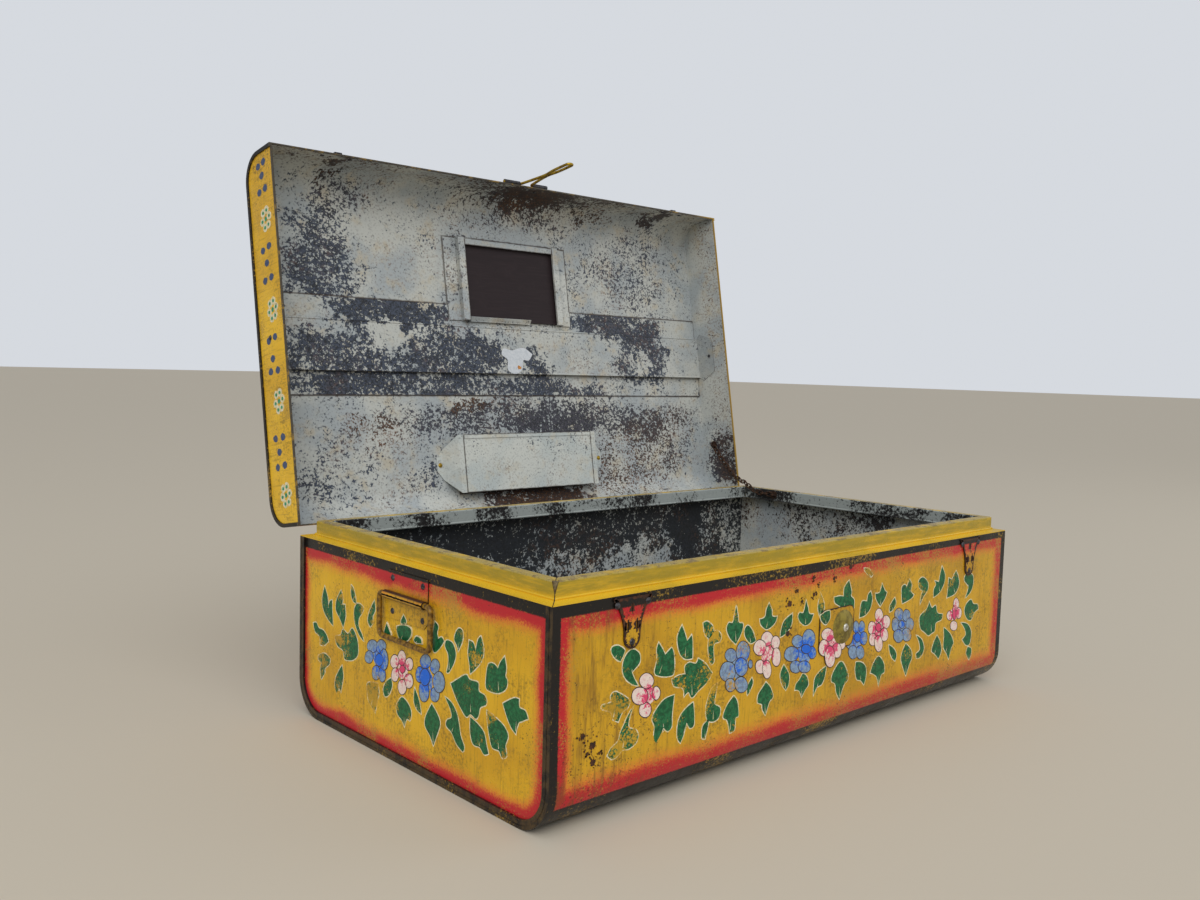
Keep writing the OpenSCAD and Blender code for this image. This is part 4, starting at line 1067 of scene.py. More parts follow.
@dataclass(frozen=True)
class BlackEdge:
    """Widths of the black edge in millimetres.

    Right less is how much narrower the head of the front is on its right half. Far is a distance from the
    edge at which no border is left.
    """

    wrap_side: float = 9.0
    wrap_head: float = 10.0
    wrap_foot: float = 23.0
    end_ring: float = 7.5
    end_head: float = 11.0
    lid_side: float = 5.0
    lid_foot: float = 4.0
    lid_end_ring: float = 4.2
    lid_end_head: float = 2.5
    right_less: float = 2.4
    far: float = 60.0


@dataclass(frozen=True)
class BorderPaint:
    """Outside paint of a panel: yellow ground, a red border that fades inwards, and a black edge.

    A panel's inside has the interior's enamel. With an axis set, the paint is a plate's: the same on both
    sides, and darkened with painted shade and grime where the plate's surface turns away from that axis.
    """

    side: Side
    wear: WearMap
    axis: Point3 | None = None
    ground: Ground = Ground()
    interior: Interior = Interior()
    edge: BlackEdge = BlackEdge()
    red: Colour = tint(196, 34, 44)
    orange: Colour = tint(230, 112, 52)
    black: Colour = tint(24, 21, 20)
    chip: Colour = tint(182, 146, 56)
    # Colour of painted shade and grime on plate edges and along the fittings inside the lid
    shade_and_grime: Colour = tint(54, 36, 22)
    rim: Colour = tint(74, 68, 58)
    stain: Colour = tint(112, 88, 50)
    enamel_rough: Colour = (0.5, 0.5, 0.5, 1)
    red_w: float = 10.0
    fade_w: float = 10.0
    grain: Cloud = Cloud(1.8, 3.0, 0.8)
    wander: Cloud = Cloud(55)
    rubbing: Cloud = Cloud(1.7, 4.0, 0.82)
    rub_patches: Cloud = Cloud(50)
    edge_rubbing: Cloud = Cloud(2.8, 4.0, 0.8)
    edge_patches: Cloud = Cloud(60)
    edge_stains: Cloud = Cloud(14, 4.0, 0.75, 0.40, 0.56)
    water: Cloud = Cloud(9, 4.0, 0.7, 0.48, 0.66, 0.62, stretch=(1, 1, 0.12))
    dents: Cloud = Cloud(120, 1.0)
    skin: Cloud = Cloud(2.4, 3.0, 0.6)
    shine: Cloud = Cloud(30, 4.0, 0.7, 0.35, 0.7, 0.48, 0.26)
    plate_dirt: Cloud = Cloud(5.0, 4.0, 0.75, 0.57, 0.68, 0.8)
    plate_dents: Cloud = Cloud(9, 3.0)
    floor_wear: Cloud = Cloud(110, 3.0, 0.6)
    gilding: Cloud = Cloud(12, 4.0, 0.7, 0.54, 0.62, 0.5)

    def inset(self, tree: ShaderTree, x: Wire, y: Wire, z: Wire) -> tuple[Wire, Wire]:
        """Distance from the black edge into the panel, and the same with the broad fades drawn together.

        Args:
            tree: the material's tree.
            x, y, z: the place in millimetres, lid closed.

        Returns:
            Millimetres, below 0 on the black edge, and the distance that the red border follows.
        """
        edge = self.edge
        if self.side is Side.WRAP:
            across, foot = TRUNK.half_w - edge.wrap_side - x.size(), z - edge.wrap_foot
            head = tree.smooth(x, -60.0, 120.0, end=edge.right_less) + (TRUNK.base_h - edge.wrap_head - z)
            drawn = across * tree.smooth(x, -60.0, 200.0, 1.25, 0.85)
            return across.low(head).low(foot), drawn.low(head).low(foot * 0.72)
        if self.side is Side.LID_WRAP:
            foot = (z - TRUNK.lid_low - edge.lid_foot) + (z > 240.0) * edge.far
            across = TRUNK.half_d - edge.lid_foot - y.size() + (z < 235.0) * edge.far
            inside = (TRUNK.half_w - edge.lid_side - x.size()).low(foot).low(across)
            return inside, inside
        base = self.side is Side.END
        radius, ring_w = (TRUNK.base_r, edge.end_ring) if base else (TRUNK.lid_r, edge.lid_end_ring)
        foot = z if base else TRUNK.lid_top - z
        head = TRUNK.base_h - edge.end_head - z if base else z - TRUNK.lid_low - edge.lid_end_head
        corner_y, corner_z = (radius - (TRUNK.half_d - y.size())).high(0.0), (radius - foot).high(0.0)
        ring = radius - ring_w - (corner_y * corner_y + corner_z * corner_z).root()
        if not base:
            return ring.low(head), ring.low(head) + edge.far
        return ring.low(head), (ring + tree.smooth(y, 120.0, 190.0, end=5.0)).low(head * 0.9)

    def rubbed(self, tree: ShaderTree, at: Wire, x: Wire) -> Wire:
        """Share of the border that is rubbed off to the yellow, finer and more even on the wrap.

        Args:
            tree: the material's tree.
            at: the place in millimetres.
            x: its place along the trunk.

        Returns:
            The share.
        """
        wrap = self.side is Side.WRAP
        fine, broad, level = (0.75, 0.3, 0.568) if wrap else (0.55, 0.5, 0.575)
        worn = self.rubbing.noise(tree, at) * fine + self.rub_patches.noise(tree, at) * broad
        if wrap:
            worn = worn + tree.smooth(x, -120.0, 160.0, end=0.05)
        return tree.smooth(worn, level, level + 0.04)

    def outer(self, tree: ShaderTree, at: Wire) -> tuple[Wire, Wire]:
        """Colour of the outside, and how much of it is bare or pitted.

        Args:
            tree: the material's tree.
            at: the place in millimetres.

        Returns:
            The colour and the share of pits.
        """
        wrap = self.side is Side.WRAP
        x, y, z = tree.axes(at)
        inset, border = self.inset(tree, x, y, z)
        grain = self.grain.noise(tree, at) - 0.5
        soft = border + grain * 15.0 + (self.wander.noise(tree, at) - 0.5) * (9.0 if wrap else 16.0)
        colour = self.ground.colour(tree, at)
        fade = tree.smooth(soft, self.red_w + self.fade_w, self.red_w - 3.0, end=0.85)
        colour = tree.mix(fade, colour, self.orange)
        colour = tree.mix(tree.smooth(soft, self.red_w + 3.0, self.red_w - 4.0), colour, self.red)
        if wrap:
            water = self.water.mask(tree, at) * tree.smooth(x, -190.0, -290.0)
            colour = tree.mix(water, colour, self.ground.stain)
        rubbed = self.rubbed(tree, at, x) * tree.smooth(inset, 30.0, 10.0, end=0.75)
        colour = tree.mix(rubbed, colour, self.chip)
        worn = self.edge_rubbing.noise(tree, at) * 0.65 + self.edge_patches.noise(tree, at) * 0.42
        edge = tree.mix(tree.smooth(worn, 0.60, 0.64, end=0.7), self.black, self.chip)
        colour = tree.mix(tree.smooth(inset + grain * 2.6, 0.7, -0.7), colour, edge)
        pitted: Any = 0.0
        if wrap:
            ridge = tree.smooth(x.size(), 354.6, 355.3, end=0.35) * self.edge_stains.mask(tree, at)
            colour = tree.mix(ridge, colour, self.stain)
            pitted = tree.smooth(x, -205.0, -290.0) * tree.smooth(z, 128.0, 70.0)
        pits = self.ground.pits(tree, at, pitted)
        return tree.mix(pits * 0.9, colour, self.ground.pit), pits

    def material(self) -> bpy.types.Material:
        """Makes the material.

        Returns:
            The material.
        """
        tree = ShaderTree.named(f"paint {self.side.name.lower()}" + (" plate" if self.axis else ""))
        at = tree.place(self.side.lid)
        colour, pits = self.outer(tree, at)
        rough = self.shine.mask(tree, at)
        if self.axis:
            # Painted shade: faces that turn away from the axis, the plate's edges, are darkened, and a noise
            # adds dirt
            flat = tree.dot(tree.coords("Normal"), self.axis).size()
            shade_and_grime = tree.smooth(flat, 0.96, 0.6).high(self.plate_dirt.mask(tree, at))
            normal = tree.relief(self.plate_dents.noise(tree, at), 0.7, 0.5)
            return tree.finish(tree.mix(shade_and_grime, colour, self.shade_and_grime), rough, normal=normal)
        out, inner = self.inside(tree, at)
        colour = tree.mix(out, inner, colour)
        if self.side.lid:
            colour = self.rimmed(tree, at, colour)
        height = self.dents.noise(tree, at) + self.skin.noise(tree, at) * 0.02 - pits * 0.03
        rough = tree.mix(out, self.enamel_rough, rough)
        return tree.finish(colour, rough, normal=tree.relief(height, 2.5, 0.6))

    def inside(self, tree: ShaderTree, at: Wire) -> tuple[Wire, Wire]:
        """Enamel of the panel's inside.

        Args:
            tree: the material's tree.
            at: the place in millimetres, lid closed.

        Returns:
            1 where the outside's paint shows, and the enamel's colour.
        """
        x, _, z = tree.axes(at)
        worn, brown = self.wear.wires(tree, at)
        if self.side.lid:
            # The lid's skirts get more and browner wear: partly rust, partly painted shade inside the skirts
            skirt_shade_and_rust = tree.smooth(z, 236.0, 214.0)
            worn, brown = skirt_shade_and_rust * 0.12 + worn, (skirt_shade_and_rust * 0.7).high(brown)
        if self.side is Side.WRAP:
            floor = tree.smooth(z, 40.0, 6.0)
            worn = (self.floor_wear.noise(tree, at) - 0.62) * floor * 2.4 + worn
        inner = self.interior.colour(tree, at, worn, brown)
        if self.side is Side.LID_WRAP:
            # Painted contact shadow and dirt round the pocket, the mirror frame and the stiffener
            inner = tree.mix(outlines(tree, at, 3.4, *POCKET, *FRAME, *STIFFENER) * 0.78, inner, self.shade_and_grime)
        return tree.outside(self.side.lid).high(x.size() > (353.5 if self.side.lid else 352.8)), inner

    def rimmed(self, tree: ShaderTree, at: Wire, colour: Wire) -> Wire:
        """Adds the worn rim of the lid, which is gilt towards the right end.

        Args:
            tree: the material's tree.
            at: the place in millimetres, lid closed.
            colour: the panel's colour.

        Returns:
            The colour with the rim.
        """
        x, _, z = tree.axes(at)
        rim = tree.smooth(z, TRUNK.lid_low + 2.6, TRUNK.lid_low + 1.4)
        gold = self.gilding.mask(tree, at).high(tree.smooth(x, 300.0, 350.0, end=0.8))
        return tree.mix(rim, colour, tree.mix(gold, self.rim, self.chip))


@dataclass(frozen=True)
class CollarPaint:
    """Golden paint of the collar: bright ledge, an upright darkened to olive as painted shade, pale worn top
    and a grey inner flange.
    """

    gold: Colour = tint(230, 186, 44)
    olive: Colour = tint(164, 144, 44)
    worn: Colour = tint(172, 154, 92)
    brown: Colour = tint(112, 92, 70)
    dirt: Colour = tint(70, 58, 34)
    inner: Colour = tint(160, 166, 162)
    spot: Colour = tint(40, 38, 38)
    drift: Cloud = Cloud(60, 4.0, 0.6)
    brushing: Cloud = Cloud(3.0, 4.0, 0.7, 0.3, 0.6, 0.95, 0.45, (0.12, 0.12, 1.0))
    bare: Cloud = Cloud(24, 5.0, 0.75, 0.38, 0.5, 0.75)
    browned: Cloud = Cloud(16, 5.0, 0.8, 0.5, 0.6, 0.75)
    speckle: Cloud = Cloud(4.0, 6.0, 0.82)
    speckle_patches: Cloud = Cloud(60)
    nicks: Cloud = Cloud(2.2, 4.0, 0.8, 0.67, 0.71, 0.75)
    nick_patches: Cloud = Cloud(40, 1.0, 0.5, 0.48, 0.6)
    shine: Cloud = Cloud(20, 4.0, 0.7, 0.35, 0.7, 0.42, 0.22)
    dents: Cloud = Cloud(60, 1.0)
    skin: Cloud = Cloud(2.0)

    def material(self) -> bpy.types.Material:
        """Makes the material.

        Returns:
            The material.
        """
        tree = ShaderTree.named("paint collar")
        at = tree.place(False)
        x, y, z = tree.axes(at)
        inset = (TRUNK.half_w - x.size()).low(TRUNK.half_d - y.size())
        up = z - TRUNK.base_h
        drift = self.drift.noise(tree, at)
        colour = tree.mix(tree.smooth(drift, 0.46, 0.7, end=0.5), self.gold, self.olive)
        # Painted shade: the collar's upright face is turned olive, in brush-like streaks
        upright = tree.smooth(up, 2.0, 7.0) * tree.smooth(inset, 15.0, 12.5)
        colour = tree.mix(upright * self.brushing.mask(tree, at), colour, self.olive)
        seam = tree.smooth((up - 2.6).size(), 1.2, 0.4) * tree.smooth(inset, 10.5, 11.5)
        colour = tree.mix(seam * tree.smooth(drift, 0.4, 0.6, 0.1, 0.5), colour, self.dirt)
        top = tree.smooth(up, 14.8, 16.0)
        colour = tree.mix(top * self.bare.mask(tree, at), colour, self.worn)
        colour = tree.mix(top * self.browned.mask(tree, at), colour, self.brown)
        flange = tree.smooth(inset, 22.6, 23.1)
        colour = tree.mix(flange, colour, self.inner)
        black = self.speckle.noise(tree, at) * 0.6 + self.speckle_patches.noise(tree, at) * 0.45
        colour = tree.mix(tree.smooth(black, 0.53, 0.57) * flange, colour, self.spot)
        colour = tree.mix(self.nicks.mask(tree, at) * self.nick_patches.mask(tree, at), colour, self.dirt)
        height = self.dents.noise(tree, at) + self.skin.noise(tree, at) * 0.03
        return tree.finish(colour, self.shine.mask(tree, at), normal=tree.relief(height, 1.0, 0.5))


@dataclass(frozen=True)
class InsideEnamel:
    """The interior's enamel on a fitting of the lid, with its own amount of wear, and painted shade with dirt
    on faces that look down, on its sides and along its outlines.
    """

    name: str
    wear: WearMap
    lines: tuple[str, ...]
    interior: Interior = Interior()
    # Colour of the painted shade and dirt
    dirt: Colour = tint(58, 46, 38)
    line_w: float = 2.2
    shade_dirt_patches: Cloud = Cloud(9, 3.0, 0.5, 0.3, 0.5, 0.9, 0.5)
    shine: Cloud = Cloud(14, 4.0, 0.7, 0.3, 0.7, 0.6, 0.34)
    dents: Cloud = Cloud(40, 1.0)
    skin: Cloud = Cloud(2.0, 4.0)

    def material(self) -> bpy.types.Material:
        """Makes the material.

        Returns:
            The material.
        """
        tree = ShaderTree.named(f"enamel {self.name}")
        at = tree.place(True)
        colour = self.interior.colour(tree, at, *self.wear.wires(tree, at))
        side, _, up = tree.axes(tree.coords("Normal"))
        # Painted shade: faces that look down, the sides and the outlines are darkened, in patches of dirt
        shade = tree.smooth(up, -0.35, -0.8).high(tree.smooth(side.size(), 0.5, 0.9, end=0.25))
        shade = shade.high(outlines(tree, at, self.line_w, *self.lines) * (side.size() < 0.5))
        colour = tree.mix(shade * self.shade_dirt_patches.mask(tree, at), colour, self.dirt)
        height = self.dents.noise(tree, at) + self.skin.noise(tree, at) * 0.05
        return tree.finish(colour, self.shine.mask(tree, at), normal=tree.relief(height, 0.8, 0.5))


@dataclass(frozen=True)
class Metal:
    """Bare or thinly painted metal with stains. The size is that of the stains, in millimetres."""

    name: str
    bright: Colour
    dull: Colour
    stain: Colour
    metallic: float
    rough: float
    size: float = 6.0

    def material(self) -> bpy.types.Material:
        """Makes the material.

        Returns:
            The material.
        """
        tree = ShaderTree.named(self.name)
        at = tree.place(False)
        colour = tree.mix(Cloud(self.size, 4.0, 0.65, 0.4, 0.62).mask(tree, at), self.bright, self.dull)
        marks = Cloud(self.size * 0.6, 5.0, 0.75, 0.56, 0.68).mask(tree, at)
        rough = Cloud(self.size, 3.0, 0.5, 0.3, 0.7, min(self.rough + 0.25, 1.0), self.rough).mask(tree, at)
        return tree.finish(
            tree.mix(marks * 0.85, colour, self.stain), rough,
            metallic=tree.smooth(marks, 0.0, 1.0, self.metallic, self.metallic * 0.3),
            normal=tree.relief(Cloud(self.size * 0.25, 4.0, 0.7).noise(tree, at), 0.25, 0.7))


@dataclass(frozen=True)
class Board:
    """Dark stained board in the mirror's frame."""

    dark: Colour = tint(38, 27, 30)
    light: Colour = tint(58, 45, 47)
    veins: Cloud = Cloud(3.0, 5.0, 0.6, stretch=(0.08, 1.0, 1.0))
    dust: Cloud = Cloud(30, 4.0, 0.7, 0.5, 0.75, 0.4)

    def material(self) -> bpy.types.Material:
        """Makes the material.

        Returns:
            The material.
        """
        tree = ShaderTree.named("mirror board")
        at = tree.place(True)
        veins = self.veins.noise(tree, at)
        light = tree.smooth(veins, 0.4, 0.75, end=0.3).high(self.dust.mask(tree, at))
        return tree.finish(tree.mix(light, self.dark, self.light), 0.62, normal=tree.relief(veins, 0.2, 0.6))


class Paint(Enum):
    """Paints of the decoration, in the order of their material slots."""

    CREAM = 0
    GREEN = 1
    INK = 2
    BLUE = 3
    PINK = 4
    SLATE = 5
    RUST = 6
    WHITE = 7
    ORANGE = 8
    MINT = 9


@dataclass(frozen=True)
class Decoration:
    """One paint of the flowers and leaves, rubbed through to the yellow ground.

    The tip's colour is that of places with a high tone, such as the flower's heart, and main without one.
    Worn is how much more than usual it is rubbed.
    """

    paint: Paint
    main: Colour
    other: Colour
    worn: float = 0.0
    tip: Colour | None = None
    ground: Ground = Ground()
    strokes: Cloud = Cloud(3.4, 4.0, 0.7)
    rubbing: Cloud = Cloud(2.2, 4.0, 0.8)
    rub_patches: Cloud = Cloud(26)

    def material(self) -> bpy.types.Material:
        """Makes the material, which follows the attributes tone and tired of the films.

        Returns:
            The material.
        """
        tree = ShaderTree.named(f"decoration {self.paint.name.lower()}")
        at = tree.place(False)
        tone, tired = (tree.add("ShaderNodeAttribute", {"attribute_name": name}, out="Fac")
                       for name in ("tone", "tired"))
        strokes = self.strokes.noise(tree, at)
        colour = tree.mix(tree.smooth(strokes, 0.42, 0.6), self.main, self.other)
        heart = tree.smooth(tone + (strokes - 0.5) * 1.9, 0.27, 0.57)
        colour = tree.mix(heart, colour, self.tip or self.main)
        rub = self.rubbing.noise(tree, at) * 0.5 + self.rub_patches.noise(tree, at) * 0.5 + tired * 0.14
        rub = tree.smooth(rub, 0.62 - self.worn, 0.66 - self.worn, end=0.85)
        colour = tree.mix(rub, colour, self.ground.colour(tree, at))
        colour = tree.mix(self.ground.pits(tree, at) * 0.8, colour, self.ground.pit)
        rough = tree.smooth(strokes, 0.3, 0.7, 0.3, 0.45)
        return tree.finish(colour, rough, normal=tree.relief(strokes, 0.12, 0.5))


DECORATIONS: tuple[Decoration, ...] = (
    Decoration(Paint.CREAM, tint(236, 228, 200), tint(216, 202, 148), 0.02),
    Decoration(Paint.GREEN, tint(10, 84, 48), tint(34, 116, 70), 0.035),
    Decoration(Paint.INK, tint(50, 38, 38), tint(78, 62, 54), -0.02),
    Decoration(Paint.BLUE, tint(138, 168, 200), tint(120, 138, 162), 0.03, tint(26, 108, 226)),
    Decoration(Paint.PINK, tint(244, 226, 214), tint(238, 206, 200), -0.02, tint(226, 70, 116)),
    Decoration(Paint.SLATE, tint(50, 72, 118), tint(76, 92, 118)),
    Decoration(Paint.RUST, tint(48, 30, 22), tint(84, 48, 28), -0.06),
    Decoration(Paint.WHITE, tint(216, 220, 224), tint(202, 208, 214), -0.1),
    Decoration(Paint.ORANGE, tint(206, 140, 62), tint(182, 116, 44), -0.1),
    Decoration(Paint.MINT, tint(64, 158, 120), tint(40, 132, 92)),
)


def middle_of(points: Sequence[Point]) -> Point:
    """Mean of some points."""
    return sum(p[0] for p in points) / len(points), sum(p[1] for p in points) / len(points)


def signed_area(points: Sequence[Point]) -> float:
    """Twice the area of a closed outline, below 0 if it runs clockwise."""
    x, y = points[0]
    return sum((a[0] - x) * (b[1] - y) - (b[0] - x) * (a[1] - y) for a, b in zip(points, points[1:]))


def turns(count: int) -> list[float]:
    """Angles of the points of a closed ring, in radians."""
    return [2 * math.pi * k / count for k in range(count)]


def rounded(points: Sequence[Point], steps: int = 4) -> list[Point]:
    """Closed curve through points, with sharp corners kept as corners.

    Args:
        points: the corners in order.
        steps: pieces between two corners.

    Returns:
        The points of the curve.
    """
    sharpest = math.radians(82)
    count = len(points)
    spots = [Vector(point) for point in points]
    slopes = []
    for i, spot in enumerate(spots):
        before, after = spot - spots[i - 1], spots[(i + 1) % count] - spot
        sharp = before.angle(after, 0.0) > sharpest
        slopes.append(Vector((0, 0)) if sharp else (before + after) / 2)
    curve = []
    for i in range(count):
        a, b = spots[i], spots[(i + 1) % count]
        for t in (k / steps for k in range(steps)):
            curve.append(tuple(
                a * (2 * t ** 3 - 3 * t * t + 1) + slopes[i] * (t ** 3 - 2 * t * t + t)
                + b * (3 * t * t - 2 * t ** 3) + slopes[(i + 1) % count] * (t ** 3 - t * t)))
    return curve


def grown(points: Sequence[Point], width: float, rng: random.Random) -> list[Point]:
    """Outline moved outwards by about a width, a little unevenly, as a brush line is.

    Args:
        points: closed outline.
        width: how far it moves.
        rng: source of the unevenness.

    Returns:
        The larger outline.
    """
    way = 1.0 if signed_area(points) > 0 else -1.0
    result = []
    for i, point in enumerate(points):
        before = (Vector(point) - Vector(points[i - 1])).normalized()
        after = (Vector(points[(i + 1) % len(points)]) - Vector(point)).normalized()
        out = Vector((before.y + after.y, -before.x - after.x)) * way
        if out.length < 0.3:
            out = before * 2.0
        reach = min(2.0 / max(out.length, 0.3), 1.8) * width * rng.uniform(0.75, 1.25)
        result.append(tuple(Vector(point) + out.normalized() * reach))
    return result


class PaintLayer:
    """Painted shapes of one wall, each a thin closed film of its own paint.

    Heights are in millimetres above the wall. A film that crosses another lies a little higher.
    """

    def __init__(self, wall: Wall, name: str, seed: int) -> None:
        """Starts an empty layer.

        Args:
            wall: the face that is painted.
            name: the piece's name.
            seed: fixes the unevenness of its lines.
        """
        self.wall = wall
        self.name = name
        self.rng = random.Random(seed)
        self.mesh = bmesh.new()
        self.tone = self.mesh.verts.layers.float.new("tone")
        self.tired = self.mesh.verts.layers.float.new("tired")

    def film(self, outline: Sequence[Point], height: float, paint: Paint,
             tone: Callable[[Point], float] | None = None, tired: float = 0.0, base: float = -0.05) -> None:
        """Adds one film. One with a tone is a fan round its middle, so it has to be nearly round.

        Args:
            outline: closed outline on the wall.
            height: height of its face.
            paint: its paint.
            tone: value of the tone attribute at a point.
            tired: how much more than usual it is rubbed off.
            base: height of its back.
        """
        right_handed = self.wall.right_handed()
        count = len(outline)
        points = list(outline) if (signed_area(outline) > 0) == right_handed else list(reversed(outline))
        if tone is None:
            corners = tessellate_polygon([[Vector((*point, 0)) for point in points]])
        else:
            points.append(middle_of(outline))
            corners = [(i, (i + 1) % count, count) for i in range(count)]
        face_ring, back_ring = ([self.mesh.verts.new(self.wall.at(point, level)) for point in points]
                                for level in (height, base))
        for ring in (face_ring, back_ring):
            for vertex, point in zip(ring, points):
                vertex[self.tone], vertex[self.tired] = tone(point) if tone else 0.0, tired
        faces = []
        for i, k in ((i, (i + 1) % count) for i in range(count)):
            faces.append(self.mesh.faces.new((face_ring[k], face_ring[i], back_ring[i], back_ring[k])))
        for a, b, c in corners:
            if (signed_area([points[i] for i in (a, b, c)]) > 0) != right_handed:
                b, c = c, b
            faces.append(self.mesh.faces.new([face_ring[i] for i in (a, b, c)]))
            faces.append(self.mesh.faces.new([back_ring[i] for i in (c, b, a)]))
        for face in faces:
            face.material_index = paint.value

    def leaf(self, outline: Sequence[Point], lift: float = 0.0, tired: float = 0.0) -> None:
        """Paints a leaf: a cream line round green, with a vein of cream.

        Args:
            outline: corners of the green on the wall.
            lift: height of the plate that it is painted on.
            tired: how much more than usual it is rubbed off.
        """
        curve = rounded(outline)
        self.film(grown(curve, 0.95, self.rng), lift + 0.10, Paint.CREAM, tired=tired)
        self.film(curve, lift + 0.15, Paint.GREEN, tired=tired)
        middle = Vector(middle_of(curve))
        foot = min((Vector(point) for point in outline),
                   key=lambda point: abs(point.x - middle.x) + (0 if point.y < middle.y else 60))
        vein = (middle - foot) * 0.55
        side = Vector((-vein.y, vein.x)).normalized() * 0.42
        start = foot + vein * 0.25
        self.film([tuple(start - side), tuple(start + vein), tuple(start + side)], lift + 0.19, Paint.CREAM)

    def flower(self, flower: Flower, place: Callable[[Point], Point], lift: float = 0.0) -> None:
        """Paints a flower petal by petal, over a patch of the heart's colour that fills the gaps.

        Args:
            flower: its drawing.
            place: turns a point of its sheet into a point of the wall.
            lift: height of the plate that it is painted on.
        """
        strength, tired = (0.55, 0.3) if flower.faded else (1.0, 0.0)
        paint = Paint.BLUE if flower.bloom is Bloom.BLUE else Paint.PINK
        heart = Vector(place(flower.heart))
        reach = max((Vector(place((x, y))) - heart).length for x, y, _, _ in flower.petals) + 2.0
        core = [tuple(heart + Vector((math.cos(turn), math.sin(turn))) * reach * self.rng.uniform(0.42, 0.58))
                for turn in turns(16)]
        self.film(core, lift + 0.08, paint, lambda point: strength * 0.42)
        for i, (x, y, half_w, half_h) in enumerate(flower.petals):
            oval = [place((x + half_w * math.cos(turn) * (1 + 0.07 * math.cos(2 * turn + i)),
                           y + half_h * math.sin(turn))) for turn in turns(20)]
            level = lift + 0.10 + 0.05 * i
            self.film(grown(oval, 0.75, self.rng), level, Paint.INK)
            self.film(oval, level + 0.03, paint, lambda point: strength * max(
                1.0 - (Vector(point) - heart).length / reach, 0.0), tired)

    def blot(self, middle: Point, radius: float, height: float, paint: Paint = Paint.RUST,
             crumbs: int = 7) -> None:
        """Paints a ragged blot with crumbs round it.

        Args:
            middle: its middle on the wall.
            radius: its mean radius.
            height: height of its face.
            paint: its paint.
            crumbs: number of small dots round it.
        """
        ring = []
        for turn in turns(18):
            reach = radius * self.rng.uniform(0.55, 1.15)
            ring.append((middle[0] + reach * math.cos(turn), middle[1] + reach * math.sin(turn)))
        self.film(ring, height, paint)
        for _ in range(crumbs):
            turn, far = self.rng.uniform(0, 2 * math.pi), radius * self.rng.uniform(1.2, 2.2)
            spot = (middle[0] + far * math.cos(turn), middle[1] + far * math.sin(turn))
            self.dot(spot, self.rng.uniform(0.3, 0.9), height, paint)

    def dot(self, middle: Point, radius: float, height: float, paint: Paint, tall: float = 1.0) -> None:
        """Paints an uneven dot, tall times as high as it is long."""
        ring = [(middle[0] + radius * math.cos(turn) * self.rng.uniform(0.88, 1.12),
                 middle[1] + radius * tall * math.sin(turn) * self.rng.uniform(0.88, 1.12))
                for turn in turns(14)]
        self.film(ring, height, paint)

    def done(self, body: str, paints: Paints) -> None:
        """Makes the piece and lets it ride on its body.

        Args:
            body: the body's name.
            paints: the materials in the order of the paints.
        """
        data = bpy.data.meshes.new(self.name)
        self.mesh.to_mesh(data)
        self.mesh.free()
        for paint in paints:
            data.materials.append(paint)
        piece = added(self.name, data)
        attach(piece, body)
        LOG.info("%s: %d faces", self.name, len(data.polygons))


@dataclass
class PlateShadeAndRust:
    """Painted shadow with rust and dirt that lines the edges and slots of a painted plate of the base.

    The width is that of the line. The step is the length of one uneven stretch. Both are in millimetres.
    """

    name: str
    wall: Wall
    width: float
    step: float = 2.5
    thickness: float = 0.06

    def edges(self) -> tuple[list[tuple[Point, Point, Point]], float]:
        """Edges of the plate's face.

        Returns:
            The edges, each with a point inside the plate, and the face's height over the wall.
        """
        data = frame["nodes"][self.name].data
        faces = []
        for polygon in data.polygons:
            if polygon.normal.dot(self.wall.outward) > 0.99:
                spots = [self.wall.local(data.vertices[i].co) for i in polygon.vertices]
                faces.append(([spot[:2] for spot in spots], spots[0][2]))
        height = max(level for _, level in faces)
        seen: dict[frozenset, list[tuple[Point, Point, Point]]] = {}
        for points, level in faces:
            if height - level > 0.1:
                continue
            for a, b in zip(points, points[1:] + points[:1]):
                key = frozenset((round(p[0], 2), round(p[1], 2)) for p in (a, b))
                seen.setdefault(key, []).append((a, b, middle_of(points)))
        return [found[0] for found in seen.values() if len(found) == 1], height

    def build(self, paints: Paints) -> None:
        """Lines the plate's edges.

        Args:
            paints: the materials in the order of the paints.
        """
        layer = PaintLayer(self.wall, f"{self.name}_grime", len(self.name))
        edges, height = self.edges()
        for a, b, middle in edges:
            start, run = Vector(a), Vector(b) - Vector(a)
            if run.length < 0.05:
                continue
            inward = Vector((-run.y, run.x)).normalized()
            if inward.dot(Vector(middle) - start) < 0:
                inward.negate()
            parts = max(1, round(run.length / self.step))
            near = [start + run * (k / parts) for k in range(parts + 1)]
            far = [spot + inward * self.width * layer.rng.uniform(0.35, 1.2) for spot in near]
            # A film of painted shadow and rust along the edge, on the plate's face
            layer.film([tuple(spot) for spot in near + far[::-1]], height + self.thickness, Paint.RUST,
                       base=height - 0.05)
        layer.done("base", paints)


